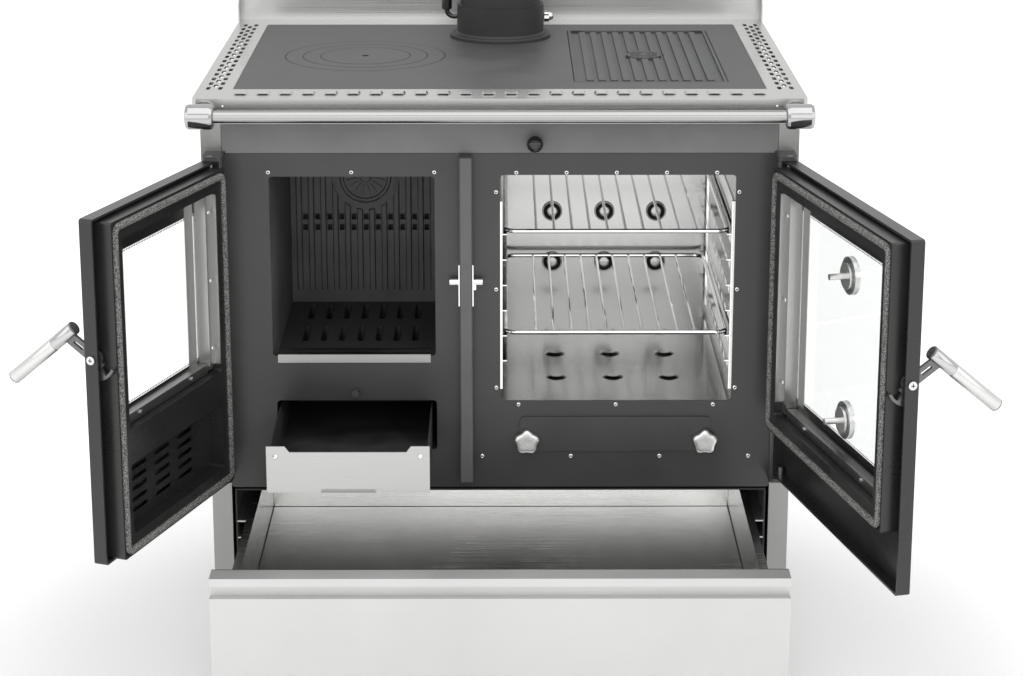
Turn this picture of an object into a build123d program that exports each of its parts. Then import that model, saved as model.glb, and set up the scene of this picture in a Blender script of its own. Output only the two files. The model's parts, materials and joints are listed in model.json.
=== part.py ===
"""Wood-burning cookstove with a firebox, an oven, an ash drawer and a wood drawer.

Millimetres, +X to the right, +Y to the back, +Z up. The origin lies on the floor, under the
middle of the plinth's front edge. The model stands with both doors and both drawers open.
"""

from build123d import *
import math
import os

os.makedirs("parts", exist_ok=True)

# ------------------------------------------------------------------ driving dimensions
# cabinet
STOVE_WIDTH = 800
TOP_DEPTH = 605
STOVE_HEIGHT = 860
TOP_OVERHANG = 39        # the steel top's front edge stands this far ahead of the black front
FRONT_Y = -24            # front plane of the black frame
BODY_INSET = 5           # side of the cabinet behind the side of the top
SHEET = 2                # cabinet sheet
STILE_WIDTH = 27         # front return of a side panel
PLINTH_HEIGHT = 80
PLINTH_RECESS = 12       # plinth behind the front plane
PLINTH_FLANGE = 30
FOOT_RADIUS = 20
FOOT_PAD = 8
FOOT_STEM_RADIUS = 5
FOOT_NUT_HEIGHT = 8
BACK_SLOT_LENGTH = 60
BACK_SLOT_WIDTH = 8
BACK_SLOT_COUNT = 5
BACK_SLOT_PITCH = 120
BACK_SLOTS_UP = (100, 120)         # rows above the plinth
BACK_SLOTS_DOWN = (140, 120, 100)  # rows below the top
STILE_LIP = 12
CLIP_SHARE = 0.3         # clipped corners of small slots, as a share of their width

# steel top, cooking plate
APRON_HEIGHT = 33
TOP_FRONT_STRIP = 63
TOP_SIDE_STRIP = 47
TOP_REAR_STRIP = 49
PLATE_THICKNESS = 12
PLATE_GAP = 0.5
LEDGE_WIDTH = 8
VENT_SLOT_LENGTH = 18
VENT_SLOT_WIDTH = 5.5
VENT_PITCH = 32
VENT_ROWS = 15
VENT_COLUMN_PITCH = 8
LOUVRE_COUNT = 24
LOUVRE_PITCH = 29.5
LOUVRE_WIDTH = 18
LOUVRE_DEPTH = 20
LOUVRE_RISE = 2.5
LOUVRE_AHEAD = 24        # behind the top's front edge
BACKSPLASH_HEIGHT = 100
BACKSPLASH_RETURN = 30
BACKSPLASH_HEM = 12

# cooking rings, griddle
RING_X = -191
RING_BACK = 302          # ring centre behind the top's front edge
RING_RADII = (113.5, 88.5, 64.0)
RING_GAP = 0.3
RING_LEDGE = 5
LIFT_HOLE_RADIUS = 4
GRIDDLE_WIDTH = 208
GRIDDLE_MARGIN = 50      # cooking plate ahead of and behind the griddle
GRIDDLE_AHEAD = 3        # griddle ahead of the cooking plate's middle
GRIDDLE_X = 203
GRIDDLE_THICKNESS = 8
GRIDDLE_GAP = 0.6
GRIDDLE_RIBS = 11
GRIDDLE_RIB_PITCH = 16.3
GRIDDLE_RIB_WIDTH = 9
GRIDDLE_RIB_RISE = 3
GRIDDLE_BOSS_RADIUS = 25
GRIDDLE_RIM = 5
GRIDDLE_RIB_END = 12
GRIDDLE_NOTCH_RADIUS = 9
GRIDDLE_NOTCH_INSET = 14

# flue
FLUE_FROM_REAR = 143
COLLAR_RADIUS = 64
COLLAR_WALL = 4
COLLAR_HEIGHT = 45
FLANGE_RADIUS = 74
FLANGE_THICKNESS = 6
FLANGE_SEAT = 1          # recess of the cooking plate under the flange
PIPE_RADIUS = 59
PIPE_WALL = 2
PIPE_HEIGHT = 50         # above the collar
PIPE_SOCKET = 11         # inside the collar
DAMPER_SHAFT_HEIGHT = 29 # above the cooking plate
DAMPER_SHAFT_RADIUS = 3.5
DAMPER_BLADE_RADIUS = 54
DAMPER_BLADE_THICKNESS = 3
DAMPER_ARM_X = 79
DAMPER_BEND = 12
DAMPER_GRIP_RADIUS = 7.5
DAMPER_GRIP_START = 11   # above the shaft
DAMPER_GRIP_LENGTH = 42

# hand rail
RAIL_RADIUS = 8.25
RAIL_DROP = 17.5         # below the top
RAIL_AHEAD = 30
BRACKET_RADIUS = 16.5
BRACKET_INNER_X = 368
BRACKET_LENGTH = 37
BRACKET_STEM_RADIUS = 11
BRACKET_FOOT_RADIUS = 15
BRACKET_FOOT_DEPTH = 4
BRACKET_ROUND = 5

# front frame; spans are (left, right, low, high), with heights above the frame's lower edge
FRAME_THICKNESS = 3
FRAME_DROP = 550         # lower edge below the stove's top
FRAME_HEIGHT = 469
FRAME_GAP = 0.5
PANEL_GAP = 1            # band below the steel top
FIREBOX_SPAN = (-307, -87, 188, 437)
ASH_SPAN = (-303, -86, 54, 125)
OVEN_SPAN = (0, 313, 124, 439)
OPENING_CORNER = 5
MULLION_LEFT = -54
MULLION_RIGHT = -37
MULLION_PROUD = 20
MULLION_BELOW_DOOR = 12
AIR_KNOB_X = 46
AIR_KNOB_DROP = 32       # below the band's upper edge
AIR_KNOB_RADIUS = 11
AIR_KNOB_STANDOFF = 8
AIR_ROD_RADIUS = 3
AIR_ROD_REACH = 60
AIR_VALVE = (70, 3, 28)
AIR_VALVE_BELOW = 10
GRATE_KNOB_X = -196
GRATE_KNOB_DROP = 50     # below the firebox sill
GRATE_KNOB_RADIUS = 5
GRATE_ROD_RADIUS = 3
SCREW_RADIUS = 3.3
SCREW_HEIGHT = 2.3
SCREW_SIDES = 12
RUNNING_GAP = 0.06       # radial clearance of a shaft in its hole

# firebox
SHELL_WALL = 3
LINING_THICKNESS = 12
FIREBOX_DEPTH = 320
GRATE_DROP = 18          # below the firebox sill
GRATE_THICKNESS = 12
GRATE_SLOT_PITCH = 25.7
GRATE_SLOT_WIDTH = 9
GRATE_SLOT_LENGTH = 70
GRATE_ROW_PITCH = 106
GRATE_MIDDLE = 214       # behind the front plane
SHAKER_THICKNESS = 8
SHAKER_LENGTH = 210
SHAKER_GAP = 0.4
RAIL_REACH = 34
RAIL_STEP = 16
RAIL_THICKNESS = 4
LINTEL_DROP = 30
RIB_PITCH = 17.8
RIB_WIDTH = 9
RIB_RISE = 5
BACK_HOLE_WIDTH = 7
BACK_HOLE_HEIGHT = 9
MEDALLION_RADIUS = 49
MEDALLION_INNER = 38
MEDALLION_DROP = 77      # below the opening's upper edge
BACK_HOLE_DROPS = (153, 137)
GUARD_SHEET = 1.5
GUARD_FLANGE = 9         # down the frame, below the sill
GUARD_RISE = 6
GUARD_TILT = 14
GUARD_END = 7

# ash drawer
ASH_DRAWER_WIDTH = 211
ASH_DRAWER_LENGTH = 360
ASH_DRAWER_LIFT = 4      # above the opening's lower edge
ASH_DRAWER_DROP = 12     # below the opening's upper edge
ASH_DRAWER_INSET = 15    # closed, the front lies this far behind the front plane
ASH_DRAWER_TRAVEL = 188  # from closed to the photographed position
SKID_WIDTH = 12
SEAT_GAP = 0.3           # sliding pieces above what carries them
EAR_WIDTH = 24
EAR_RISE = 8
LIP_WIDTH = 70
LIP_REACH = 7

# oven
OVEN_DEPTH = 434
OVEN_WALL = 2
DIMPLE_RADIUS = 15
DIMPLE_CROWN = 9
DIMPLE_SIDES = 16
DIMPLE_RISE = 3
DIMPLE_X = (78, 157, 235)
DIMPLE_DEPTHS = (105, 212, 321)
BACK_CAP_RISES = (155, 76)         # above the oven's floor
RACK_WIRE_RADIUS = 2
RACK_FRAME_RADIUS = 3
RACK_CORNER = 14
RACK_FRAME_SIDES = 12
RACK_WIRE_SIDES = 8
RACK_WIRE_COUNT = 10
RACK_WIRE_PITCH = 24
RACK_DEPTH = 400
RACK_SIDE_GAP = 4.5
RACK_RISES = (91, 233)   # above the oven's floor
GUIDE_LEDGE = 9
GUIDE_POST = 8

# doors
DOOR_LIFT = 26           # above the frame's lower edge
DOOR_DROP = 3            # below the frame's upper edge
DOOR_GAP = 14            # between the two doors when closed
HINGE_X = 380
PAN_DEPTH = 17
PAN_SHEET = 3
PAN_EDGE = 9             # pan past the hinge axis
BOX_SETBACK = 16
BOX_HINGE_SETBACK = 8
BOX_RIM = 26
BOX_CORNER = 4
BOX_TO_FRAME = 5         # closed, between the box and the black frame
GASKET_WIDTH = 10
GASKET_INSET = 3
GASKET_DEPTH = 8
GASKET_TO_FRAME = 0.4
GASKET_TO_COVER = 2      # oven gasket above the cleanout cover
BOX_TOP_SETBACK = 6
GLASS_THICKNESS = 4
GLASS_LAP = 12
WINDOW_MARGIN = 4        # from the box's opening to the pan's window
FIREBOX_WINDOW_DROP = 8
OVEN_WINDOW_LIFT = 19
DOOR_BAR_LIFT = 2        # bar's upper edge above the firebox sill
DOOR_BAR_HEIGHT = 44
CLAMP_WIDTH = 15
CLAMP_BAR_HEIGHT = 12
CLAMP_GAP = 2
CLAMP_SETBACK = 12
BAFFLE_SETBACK = 12
BAFFLE_SHEET = 2
BAFFLE_SLOT = (40, 6)
BAFFLE_COLUMN_PITCH = 62
BAFFLE_ROW_PITCH = 14
BAFFLE_SLOTS_RISE = 98   # middle of the slots above the frame's lower edge
DIAL_RADIUS = 24
DIAL_PROUD = 3
DIAL_RISES = (52, 241)   # above the oven's floor
PROBE_RADIUS = 4
PROBE_REACH = 24
BEZEL_RADIUS = 17
BEZEL_THICKNESS = 3
HINGE_PIN_RADIUS = 4
LUG_THICKNESS = 5
LUG_CLEAR = 0.8
LUG_HALF_WIDTH = 9
LUG_HEEL = 8
LEFT_DOOR_ANGLE = 110
RIGHT_DOOR_ANGLE = 104

# door handles
HANDLE_RISE = 291        # above the frame's lower edge
HANDLE_PLATE = 5
HANDLE_TURN = 50
HUB_RADIUS = 10
HOOK_WALL = 3.6
PIN_LIFT = 4             # striker pins above the handles' pivots
PIN_RADIUS = 4.75
STRIKER_REACH = (32, 25) # plate below and above the pin
STRIKER_SHEET = 1.5
PIN_GAP = 0.5
PIN_LENGTH = 13.5
PIVOT_RADIUS = 3
ARM_LENGTH = 40
ARM_WIDTH = 15
ARM_ANGLE = 195          # closed, from +Y towards +Z
GRIP_RADIUS = 8.5
GRIP_LENGTH = 115
GRIP_ABOVE = 14

# cleanout cover
COVER_SPAN = (27, 286, 53, 102)
COVER_THICKNESS = 3
STAR_X = (36, 278)
STAR_RISE = 69
STAR_RADIUS = 16.5
STAR_THICKNESS = 13
STAR_STUD_RADIUS = 3
STAR_STUD_LENGTH = 9

# wood drawer
DRAWER_FRONT_GAP = 3     # beside the stiles
DRAWER_FRONT_LIFT = 20   # above the plinth
DRAWER_FRONT_DROP = 9    # below the black frame
DRAWER_FRONT_DEPTH = 29
GRIP_FACE = 11
GROOVE_HEIGHT = 16
GROOVE_DEPTH = 12
DRAWER_BOX_DEPTH = 87
DRAWER_BOX_DROP = 39     # below the front's upper edge
DRAWER_RIM = 9
DRAWER_OUT = 270
BAY_DROP = 4             # ceiling below the black frame
BAY_SIDE_GAP = 4
BAY_REAR_GAP = 4
RUNNER_WIDTH = 20.6
RUNNER_HEIGHT = 26
RUNNER_GAP = 0.4
DRAWER_REAR_GAP = 8      # closed, behind the drawer box

# ------------------------------------------------------------------ places worked out from them
TOP_Y0 = FRONT_Y - TOP_OVERHANG
TOP_Y1 = TOP_Y0 + TOP_DEPTH
HALF_WIDTH = STOVE_WIDTH / 2
BODY_HALF = HALF_WIDTH - BODY_INSET
BODY_BACK = TOP_Y1 - BODY_INSET
TOP_UNDER = STOVE_HEIGHT - APRON_HEIGHT
PLATE_UNDER = STOVE_HEIGHT - PLATE_THICKNESS
PLATE_HALF = HALF_WIDTH - TOP_SIDE_STRIP
PLATE_Y0 = TOP_Y0 + TOP_FRONT_STRIP
PLATE_Y1 = TOP_Y1 - TOP_REAR_STRIP
STILE_INNER = BODY_HALF - STILE_WIDTH
FRAME_BACK = FRONT_Y + FRAME_THICKNESS
RING_Y = TOP_Y0 + RING_BACK
GRIDDLE_Y = (PLATE_Y0 + PLATE_Y1) / 2 - GRIDDLE_AHEAD
GRIDDLE_LENGTH = PLATE_Y1 - PLATE_Y0 - 2 * GRIDDLE_MARGIN
FLUE_Y = TOP_Y1 - FLUE_FROM_REAR
DAMPER_Z = STOVE_HEIGHT + DAMPER_SHAFT_HEIGHT
MULLION_X = (MULLION_LEFT + MULLION_RIGHT) / 2
PAN_INNER_Y = TOP_Y0 + PAN_DEPTH
HINGE_Y = TOP_Y0 + PAN_DEPTH / 2
BOX_INNER_Y = FRONT_Y - BOX_TO_FRAME
BACK_PLATE_Y = FRONT_Y + FIREBOX_DEPTH
RAIL_HEIGHT = STOVE_HEIGHT - RAIL_DROP
FRAME_BOTTOM = STOVE_HEIGHT - FRAME_DROP
FRAME_TOP = FRAME_BOTTOM + FRAME_HEIGHT
PANEL_TOP = TOP_UNDER - PANEL_GAP
AIR_KNOB_Z = PANEL_TOP - AIR_KNOB_DROP


def standing(span):
    """A span of the front with its heights counted from the floor."""
    x0, x1, low, high = span
    return (x0, x1, FRAME_BOTTOM + low, FRAME_BOTTOM + high)


FIREBOX_OPENING = standing(FIREBOX_SPAN)
ASH_OPENING = standing(ASH_SPAN)
OVEN_OPENING = standing(OVEN_SPAN)
COVER = standing(COVER_SPAN)
STAR_Z = FRAME_BOTTOM + STAR_RISE
GRATE_KNOB_Z = FIREBOX_OPENING[2] - GRATE_KNOB_DROP
GRATE_TOP = FIREBOX_OPENING[2] - GRATE_DROP
GRATE_BOTTOM = GRATE_TOP - GRATE_THICKNESS
MEDALLION_Z = FIREBOX_OPENING[3] - MEDALLION_DROP
ASH_DRAWER_BASE = ASH_OPENING[2] + ASH_DRAWER_LIFT
ASH_DRAWER_TOP = ASH_OPENING[3] - ASH_DRAWER_DROP
RACK_HEIGHTS = [OVEN_OPENING[2] + rise for rise in RACK_RISES]
DIAL_HEIGHTS = [OVEN_OPENING[2] + rise for rise in DIAL_RISES]
DOOR_BOTTOM = FRAME_BOTTOM + DOOR_LIFT
DOOR_TOP = FRAME_TOP - DOOR_DROP
DOOR_BOX_TOP = DOOR_TOP - BOX_TOP_SETBACK
DOOR_BAR_TOP = FIREBOX_OPENING[2] + DOOR_BAR_LIFT
FIREBOX_BOX_LOW = DOOR_BOTTOM + PAN_SHEET
OVEN_BOX_LOW = COVER[3] + GASKET_TO_COVER - GASKET_INSET
HANDLE_Z = FRAME_BOTTOM + HANDLE_RISE
PIN_Z = HANDLE_Z + PIN_LIFT
BAY_HALF_WIDTH = STILE_INNER - SHEET - BAY_SIDE_GAP
BAY_BACK = BODY_BACK - SHEET - BAY_REAR_GAP
BAY_CEILING = FRAME_BOTTOM - BAY_DROP
DRAWER_FRONT_HALF = STILE_INNER - DRAWER_FRONT_GAP
DRAWER_FRONT_BOTTOM = PLINTH_HEIGHT + DRAWER_FRONT_LIFT
DRAWER_FRONT_TOP = FRAME_BOTTOM - DRAWER_FRONT_DROP
DRAWER_SIDE_TOP = DRAWER_FRONT_TOP - DRAWER_BOX_DROP
DRAWER_FLOOR = DRAWER_SIDE_TOP - DRAWER_BOX_DEPTH
DRAWER_BOX_HALF = BAY_HALF_WIDTH - RUNNER_WIDTH - RUNNER_GAP - SHEET
DRAWER_BOX_LENGTH = BAY_BACK - SHEET - DRAWER_REAR_GAP - FRONT_Y


# ------------------------------------------------------------------ helpers
def block(x0, x1, y0, y1, z0, z1):
    """Box between two corners."""
    middle = Pos((x0 + x1) / 2, (y0 + y1) / 2, (z0 + z1) / 2)
    return middle * Box(x1 - x0, y1 - y0, z1 - z0)


def rod_x(y, z, x0, x1, radius):
    """Round bar along X."""
    return Pos((x0 + x1) / 2, y, z) * Rot(0, 90, 0) * Cylinder(radius, x1 - x0)


def rod_y(x, z, y0, y1, radius):
    """Round bar along Y."""
    return Pos(x, (y0 + y1) / 2, z) * Rot(90, 0, 0) * Cylinder(radius, y1 - y0)


def rod_z(x, y, z0, z1, radius):
    """Round bar along Z."""
    return Pos(x, y, (z0 + z1) / 2) * Cylinder(radius, z1 - z0)


def panel_y(x0, x1, z0, z1, y0, y1, corner):
    """Upright panel with rounded corners; its thickness lies along Y."""
    plane = Plane(origin=((x0 + x1) / 2, y1, (z0 + z1) / 2), x_dir=(1, 0, 0), z_dir=(0, -1, 0))
    return extrude(plane * RectangleRounded(x1 - x0, z1 - z0, corner), y1 - y0)


def panel_z(x0, x1, y0, y1, z0, z1, corner):
    """Flat panel with rounded corners; its thickness lies along Z."""
    plane = Plane(origin=((x0 + x1) / 2, (y0 + y1) / 2, z0))
    return extrude(plane * RectangleRounded(x1 - x0, y1 - y0, corner), z1 - z0)


def tray(x0, x1, y0, y1, z0, z1, wall, open_sides):
    """Thin-walled box; open_sides names the open ones out of left, right, front, back, low, high."""
    past = 1
    ix0 = x0 - past if "left" in open_sides else x0 + wall
    ix1 = x1 + past if "right" in open_sides else x1 - wall
    iy0 = y0 - past if "front" in open_sides else y0 + wall
    iy1 = y1 + past if "back" in open_sides else y1 - wall
    iz0 = z0 - past if "low" in open_sides else z0 + wall
    iz1 = z1 + past if "high" in open_sides else z1 - wall
    return block(x0, x1, y0, y1, z0, z1) - block(ix0, ix1, iy0, iy1, iz0, iz1)


def profile_x(points, x0, x1):
    """Closed outline given as (y, z) points, drawn out along X."""
    plane = Plane(origin=(x0, 0, 0), x_dir=(0, 1, 0), z_dir=(1, 0, 0))
    return extrude(plane * make_face(Polyline(*points, close=True)), x1 - x0)


def profile_z(points, z0, z1):
    """Closed outline given as (x, y) points, drawn out along Z."""
    plane = Plane(origin=(0, 0, z0))
    return extrude(plane * make_face(Polyline(*points, close=True)), z1 - z0)


def profile_y(points, y0, y1):
    """Closed outline given as (x, z) points, drawn out along Y."""
    plane = Plane(origin=(0, y1, 0), x_dir=(1, 0, 0), z_dir=(0, -1, 0))
    return extrude(plane * make_face(Polyline(*points, close=True)), y1 - y0)


def clipped(a, b, length_a, length_b):
    """Outline of a small slot or rib about (a, b): a rectangle with clipped corners."""
    half_a, half_b = length_a / 2, length_b / 2
    cut = CLIP_SHARE * min(length_a, length_b)
    a0, a1, b0, b1 = a - half_a, a + half_a, b - half_b, b + half_b
    return [
        (a0 + cut, b0), (a1 - cut, b0), (a1, b0 + cut), (a1, b1 - cut),
        (a1 - cut, b1), (a0 + cut, b1), (a0, b1 - cut), (a0, b0 + cut),
    ]


def mirrored(shape):
    """The shape's image across the middle plane of the stove."""
    return mirror(shape, about=Plane.YZ)


def fused(pieces):
    """One part from pieces that touch or overlap."""
    return Part() + list(pieces)


def grouped(pieces):
    """Several separate solids as one node."""
    return Compound(children=[solid for piece in pieces for solid in piece.solids()])


def row(count, pitch, middle=0.0):
    """Evenly spaced places about a middle."""
    return [middle + (i - (count - 1) / 2) * pitch for i in range(count)]


# ------------------------------------------------------------------ cabinet
def side_panel():
    """Right side: a sheet with a front stile, a rear return and lips folded inwards."""
    x1 = BODY_HALF
    x0 = STILE_INNER
    lip = STILE_LIP
    outline = [
        (x1, FRONT_Y), (x1, BODY_BACK), (x1 - STILE_WIDTH, BODY_BACK),
        (x1 - STILE_WIDTH, BODY_BACK - SHEET), (x1 - SHEET, BODY_BACK - SHEET),
        (x1 - SHEET, FRONT_Y + SHEET), (x0 + SHEET, FRONT_Y + SHEET),
        (x0 + SHEET, FRONT_Y + lip), (x0, FRONT_Y + lip), (x0, FRONT_Y),
    ]
    return profile_z(outline, PLINTH_HEIGHT + SHEET, TOP_UNDER)


def back_panel():
    """Rear sheet between the two returns, with rows of cooling slots."""
    inner = STILE_INNER - FRAME_GAP
    sheet = panel_y(-inner, inner, PLINTH_HEIGHT + SHEET, TOP_UNDER, BODY_BACK - SHEET, BODY_BACK, 3)
    heights = [PLINTH_HEIGHT + up for up in BACK_SLOTS_UP]
    heights += [STOVE_HEIGHT - down for down in BACK_SLOTS_DOWN]
    outlines = [
        clipped(x, z, BACK_SLOT_LENGTH, BACK_SLOT_WIDTH)
        for x in row(BACK_SLOT_COUNT, BACK_SLOT_PITCH)
        for z in heights
    ]
    return sheet - [profile_y(outline, BODY_BACK - 2 * SHEET, BODY_BACK + SHEET) for outline in outlines]


def plinth():
    """Recessed base ring with a flange folded in along the floor."""
    half = BODY_HALF - PLINTH_RECESS
    y0 = FRONT_Y + PLINTH_RECESS
    y1 = BODY_BACK - PLINTH_RECESS
    ring = tray(-half, half, y0, y1, 0, PLINTH_HEIGHT, SHEET, ("high",))
    flange = PLINTH_FLANGE
    return ring - block(-half + flange, half - flange, y0 + flange, y1 - flange, -1, SHEET + 1)


def base_plate():
    """Floor sheet of the cabinet, on the plinth."""
    return panel_z(-BODY_HALF, BODY_HALF, FRONT_Y, BODY_BACK, PLINTH_HEIGHT, PLINTH_HEIGHT + SHEET, 3)


def levelling_feet():
    """Four screw feet inside the plinth's corners."""
    inset = PLINTH_RECESS + PLINTH_FLANGE + FOOT_RADIUS + 2
    feet = []
    for x in (-BODY_HALF + inset, BODY_HALF - inset):
        for y in (FRONT_Y + inset, BODY_BACK - inset):
            pad = rod_z(x, y, 0, FOOT_PAD, FOOT_RADIUS)
            nut = rod_z(x, y, PLINTH_HEIGHT - FOOT_NUT_HEIGHT, PLINTH_HEIGHT, 2 * FOOT_STEM_RADIUS)
            feet.append(fused([pad, rod_z(x, y, FOOT_PAD, PLINTH_HEIGHT, FOOT_STEM_RADIUS), nut]))
    return grouped(feet)


# ------------------------------------------------------------------ front
def front_frame():
    """Black front sheet with the openings of the firebox, the ash drawer and the oven."""
    half = STILE_INNER - FRAME_GAP
    frame = panel_y(-half, half, FRAME_BOTTOM, FRAME_TOP - FRAME_GAP, FRONT_Y, FRAME_BACK, 4)
    for x0, x1, z0, z1 in (FIREBOX_OPENING, ASH_OPENING, OVEN_OPENING):
        frame -= panel_y(x0, x1, z0, z1, FRONT_Y - 1, FRAME_BACK + 1, OPENING_CORNER)
    x0, x1, z0, z1 = COVER
    lap = 18
    frame -= panel_y(x0 + lap, x1 - lap, z0 + lap / 3, z1 - lap / 3, FRONT_Y - 1, FRAME_BACK + 1, 3)
    for x in STAR_X:
        frame -= rod_y(x, STAR_Z, FRONT_Y - 1, FRAME_BACK + 1, STAR_STUD_RADIUS + RUNNING_GAP)
    return frame - rod_y(GRATE_KNOB_X, GRATE_KNOB_Z, FRONT_Y - 1, FRAME_BACK + 1,
                         GRATE_ROD_RADIUS + RUNNING_GAP)


def control_panel():
    """Band under the top, with the air knob's hole."""
    half = STILE_INNER - FRAME_GAP
    band = panel_y(-half, half, FRAME_TOP, PANEL_TOP, FRONT_Y, FRAME_BACK, 2)
    return band - rod_y(AIR_KNOB_X, AIR_KNOB_Z, FRONT_Y - 1, FRAME_BACK + 1, AIR_ROD_RADIUS + RUNNING_GAP)


def mullion():
    """Upright bar between the two doors."""
    nose = FRONT_Y - MULLION_PROUD
    bar = block(MULLION_LEFT, MULLION_RIGHT, nose, FRONT_Y, DOOR_BOTTOM - MULLION_BELOW_DOOR, DOOR_TOP)
    return chamfer(bar.edges().filter_by(Axis.Z).group_by(Axis.Y)[0], 1.5)


def door_strikers():
    """A plate and a pin on each flank of the mullion; the door hooks take the pins."""
    plate_depth = MULLION_PROUD - 4
    plate_y1 = FRONT_Y - 2
    low, high = PIN_Z - STRIKER_REACH[0], PIN_Z + STRIKER_REACH[1]
    pieces = []
    for side, face in ((-1, MULLION_LEFT), (1, MULLION_RIGHT)):
        x0, x1 = sorted((face, face + side * STRIKER_SHEET))
        plate = block(x0, x1, plate_y1 - plate_depth, plate_y1, low, high)
        x0, x1 = sorted((face, face + side * PIN_LENGTH))
        pieces.append(plate + rod_x(striker_y(), PIN_Z, x0, x1, PIN_RADIUS))
    return grouped(pieces)


def striker_y():
    """Distance of the striker pins along Y."""
    return FRONT_Y - MULLION_PROUD / 2 - 1


def frame_screws():
    """Round-headed screws that hold the liners to the black frame."""
    x0, x1, _, z1 = FIREBOX_OPENING
    places = [(x, z1 + 6) for x in (x0, (x0 + x1) / 2, x1)]
    x0, x1, z0, z1 = OVEN_OPENING
    places += [(x, z1 + 3.5) for x in row(5, 66.5, (x0 + x1) / 2 - 2)]
    places += [(x, z0 - 5) for x in row(3, 132, (x0 + x1) / 2)]
    places += [(x, z) for x in (x0 - 5.5, x1 + 4.5) for z in (z0 + 19, (z0 + z1) / 2, z1 - 23)]
    places += [(x, COVER[2] - 8) for x in row(4, 121, (COVER[0] + COVER[1]) / 2)]
    plane = Plane(origin=(0, FRONT_Y, 0), x_dir=(1, 0, 0), z_dir=(0, -1, 0))
    head = extrude(plane * RegularPolygon(SCREW_RADIUS, SCREW_SIDES), SCREW_HEIGHT)
    return grouped([Pos(x, 0, z) * head for x, z in places])


def hinge_lugs():
    """Plates above and below the doors that hold the hinge pins."""
    lugs = []
    half = LUG_HALF_WIDTH
    x0, x1 = HINGE_X - half - LUG_HEEL, HINGE_X + half
    for z0 in (DOOR_TOP + LUG_CLEAR, DOOR_BOTTOM - LUG_CLEAR - LUG_THICKNESS):
        lug = block(x0, x1, HINGE_Y - half, FRONT_Y, z0, z0 + LUG_THICKNESS)
        lug = fillet(lug.edges().filter_by(Axis.Z).group_by(Axis.Y)[0], 6)
        lug -= rod_z(HINGE_X, HINGE_Y, z0 - 1, z0 + LUG_THICKNESS + 1, HINGE_PIN_RADIUS + RUNNING_GAP)
        lugs += [lug, mirrored(lug)]
    return grouped(lugs)


def cleanout_cover():
    """Cover plate under the oven, with a pressed rim and two stud holes."""
    x0, x1, z0, z1 = COVER
    back = FRONT_Y - 0.3
    plate = panel_y(x0, x1, z0, z1, back - COVER_THICKNESS, back, 6)
    rim = 5
    plate -= panel_y(x0 + rim, x1 - rim, z0 + rim, z1 - rim, back - 1, back + 1, 4)
    for x in STAR_X:
        plate += rod_y(x, STAR_Z, back - COVER_THICKNESS, back, STAR_STUD_RADIUS + 5)
        plate -= rod_y(x, STAR_Z, back - 2 * COVER_THICKNESS, back + 1, STAR_STUD_RADIUS + RUNNING_GAP)
    return plate


def star_knob(x):
    """Five-lobed knob with its stud."""
    front = FRONT_Y - 0.3 - COVER_THICKNESS - 0.3
    plane = Plane(origin=(x, front, STAR_Z), x_dir=(1, 0, 0), z_dir=(0, -1, 0))
    lobe_radius = STAR_RADIUS * 0.33
    lobe_reach = STAR_RADIUS - lobe_radius
    outline = Sketch() + Circle(STAR_RADIUS * 0.62)
    outline += [Rot(0, 0, 90 + 72 * i) * Pos(lobe_reach, 0) * Circle(lobe_radius) for i in range(5)]
    knob = extrude(plane * outline, STAR_THICKNESS)
    stud_back = front + STAR_STUD_LENGTH
    return knob + rod_y(x, STAR_Z, front, stud_back, STAR_STUD_RADIUS)


# ------------------------------------------------------------------ steel top
def bridge_louvre(x):
    """Raised bridge over two slits."""
    y0 = TOP_Y0 + LOUVRE_AHEAD
    y1 = y0 + LOUVRE_DEPTH
    top = STOVE_HEIGHT
    half = LOUVRE_WIDTH / 2
    points = [
        (x - half, top - SHEET), (x - half, top), (x - half + LOUVRE_RISE, top + LOUVRE_RISE),
        (x + half - LOUVRE_RISE, top + LOUVRE_RISE), (x + half, top), (x + half, top - SHEET),
        (x + half - 1, top), (x + half - LOUVRE_RISE - 1, top + LOUVRE_RISE - 1),
        (x - half + LOUVRE_RISE + 1, top + LOUVRE_RISE - 1), (x - half + 1, top),
    ]
    plane = Plane(origin=(0, y1 - 1.5, 0), x_dir=(1, 0, 0), z_dir=(0, -1, 0))
    return extrude(plane * make_face(Polyline(*points, close=True)), y1 - y0 - 3)


def vent_slots():
    """Upright slots of the side strips: two outer columns in line, the middle one staggered."""
    middle = (PLATE_Y0 + PLATE_Y1) / 2
    slots = []
    for column, rows in ((-1, VENT_ROWS + 1), (0, VENT_ROWS), (1, VENT_ROWS + 1)):
        x = HALF_WIDTH - TOP_SIDE_STRIP / 2 + column * VENT_COLUMN_PITCH + 1.5
        for y in row(rows, VENT_PITCH, middle):
            z0 = STOVE_HEIGHT - 2 * SHEET
            slot = profile_z(clipped(x, y, VENT_SLOT_WIDTH, VENT_SLOT_LENGTH), z0, z0 + 4 * SHEET)
            slots += [slot, mirrored(slot)]
    return slots


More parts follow.
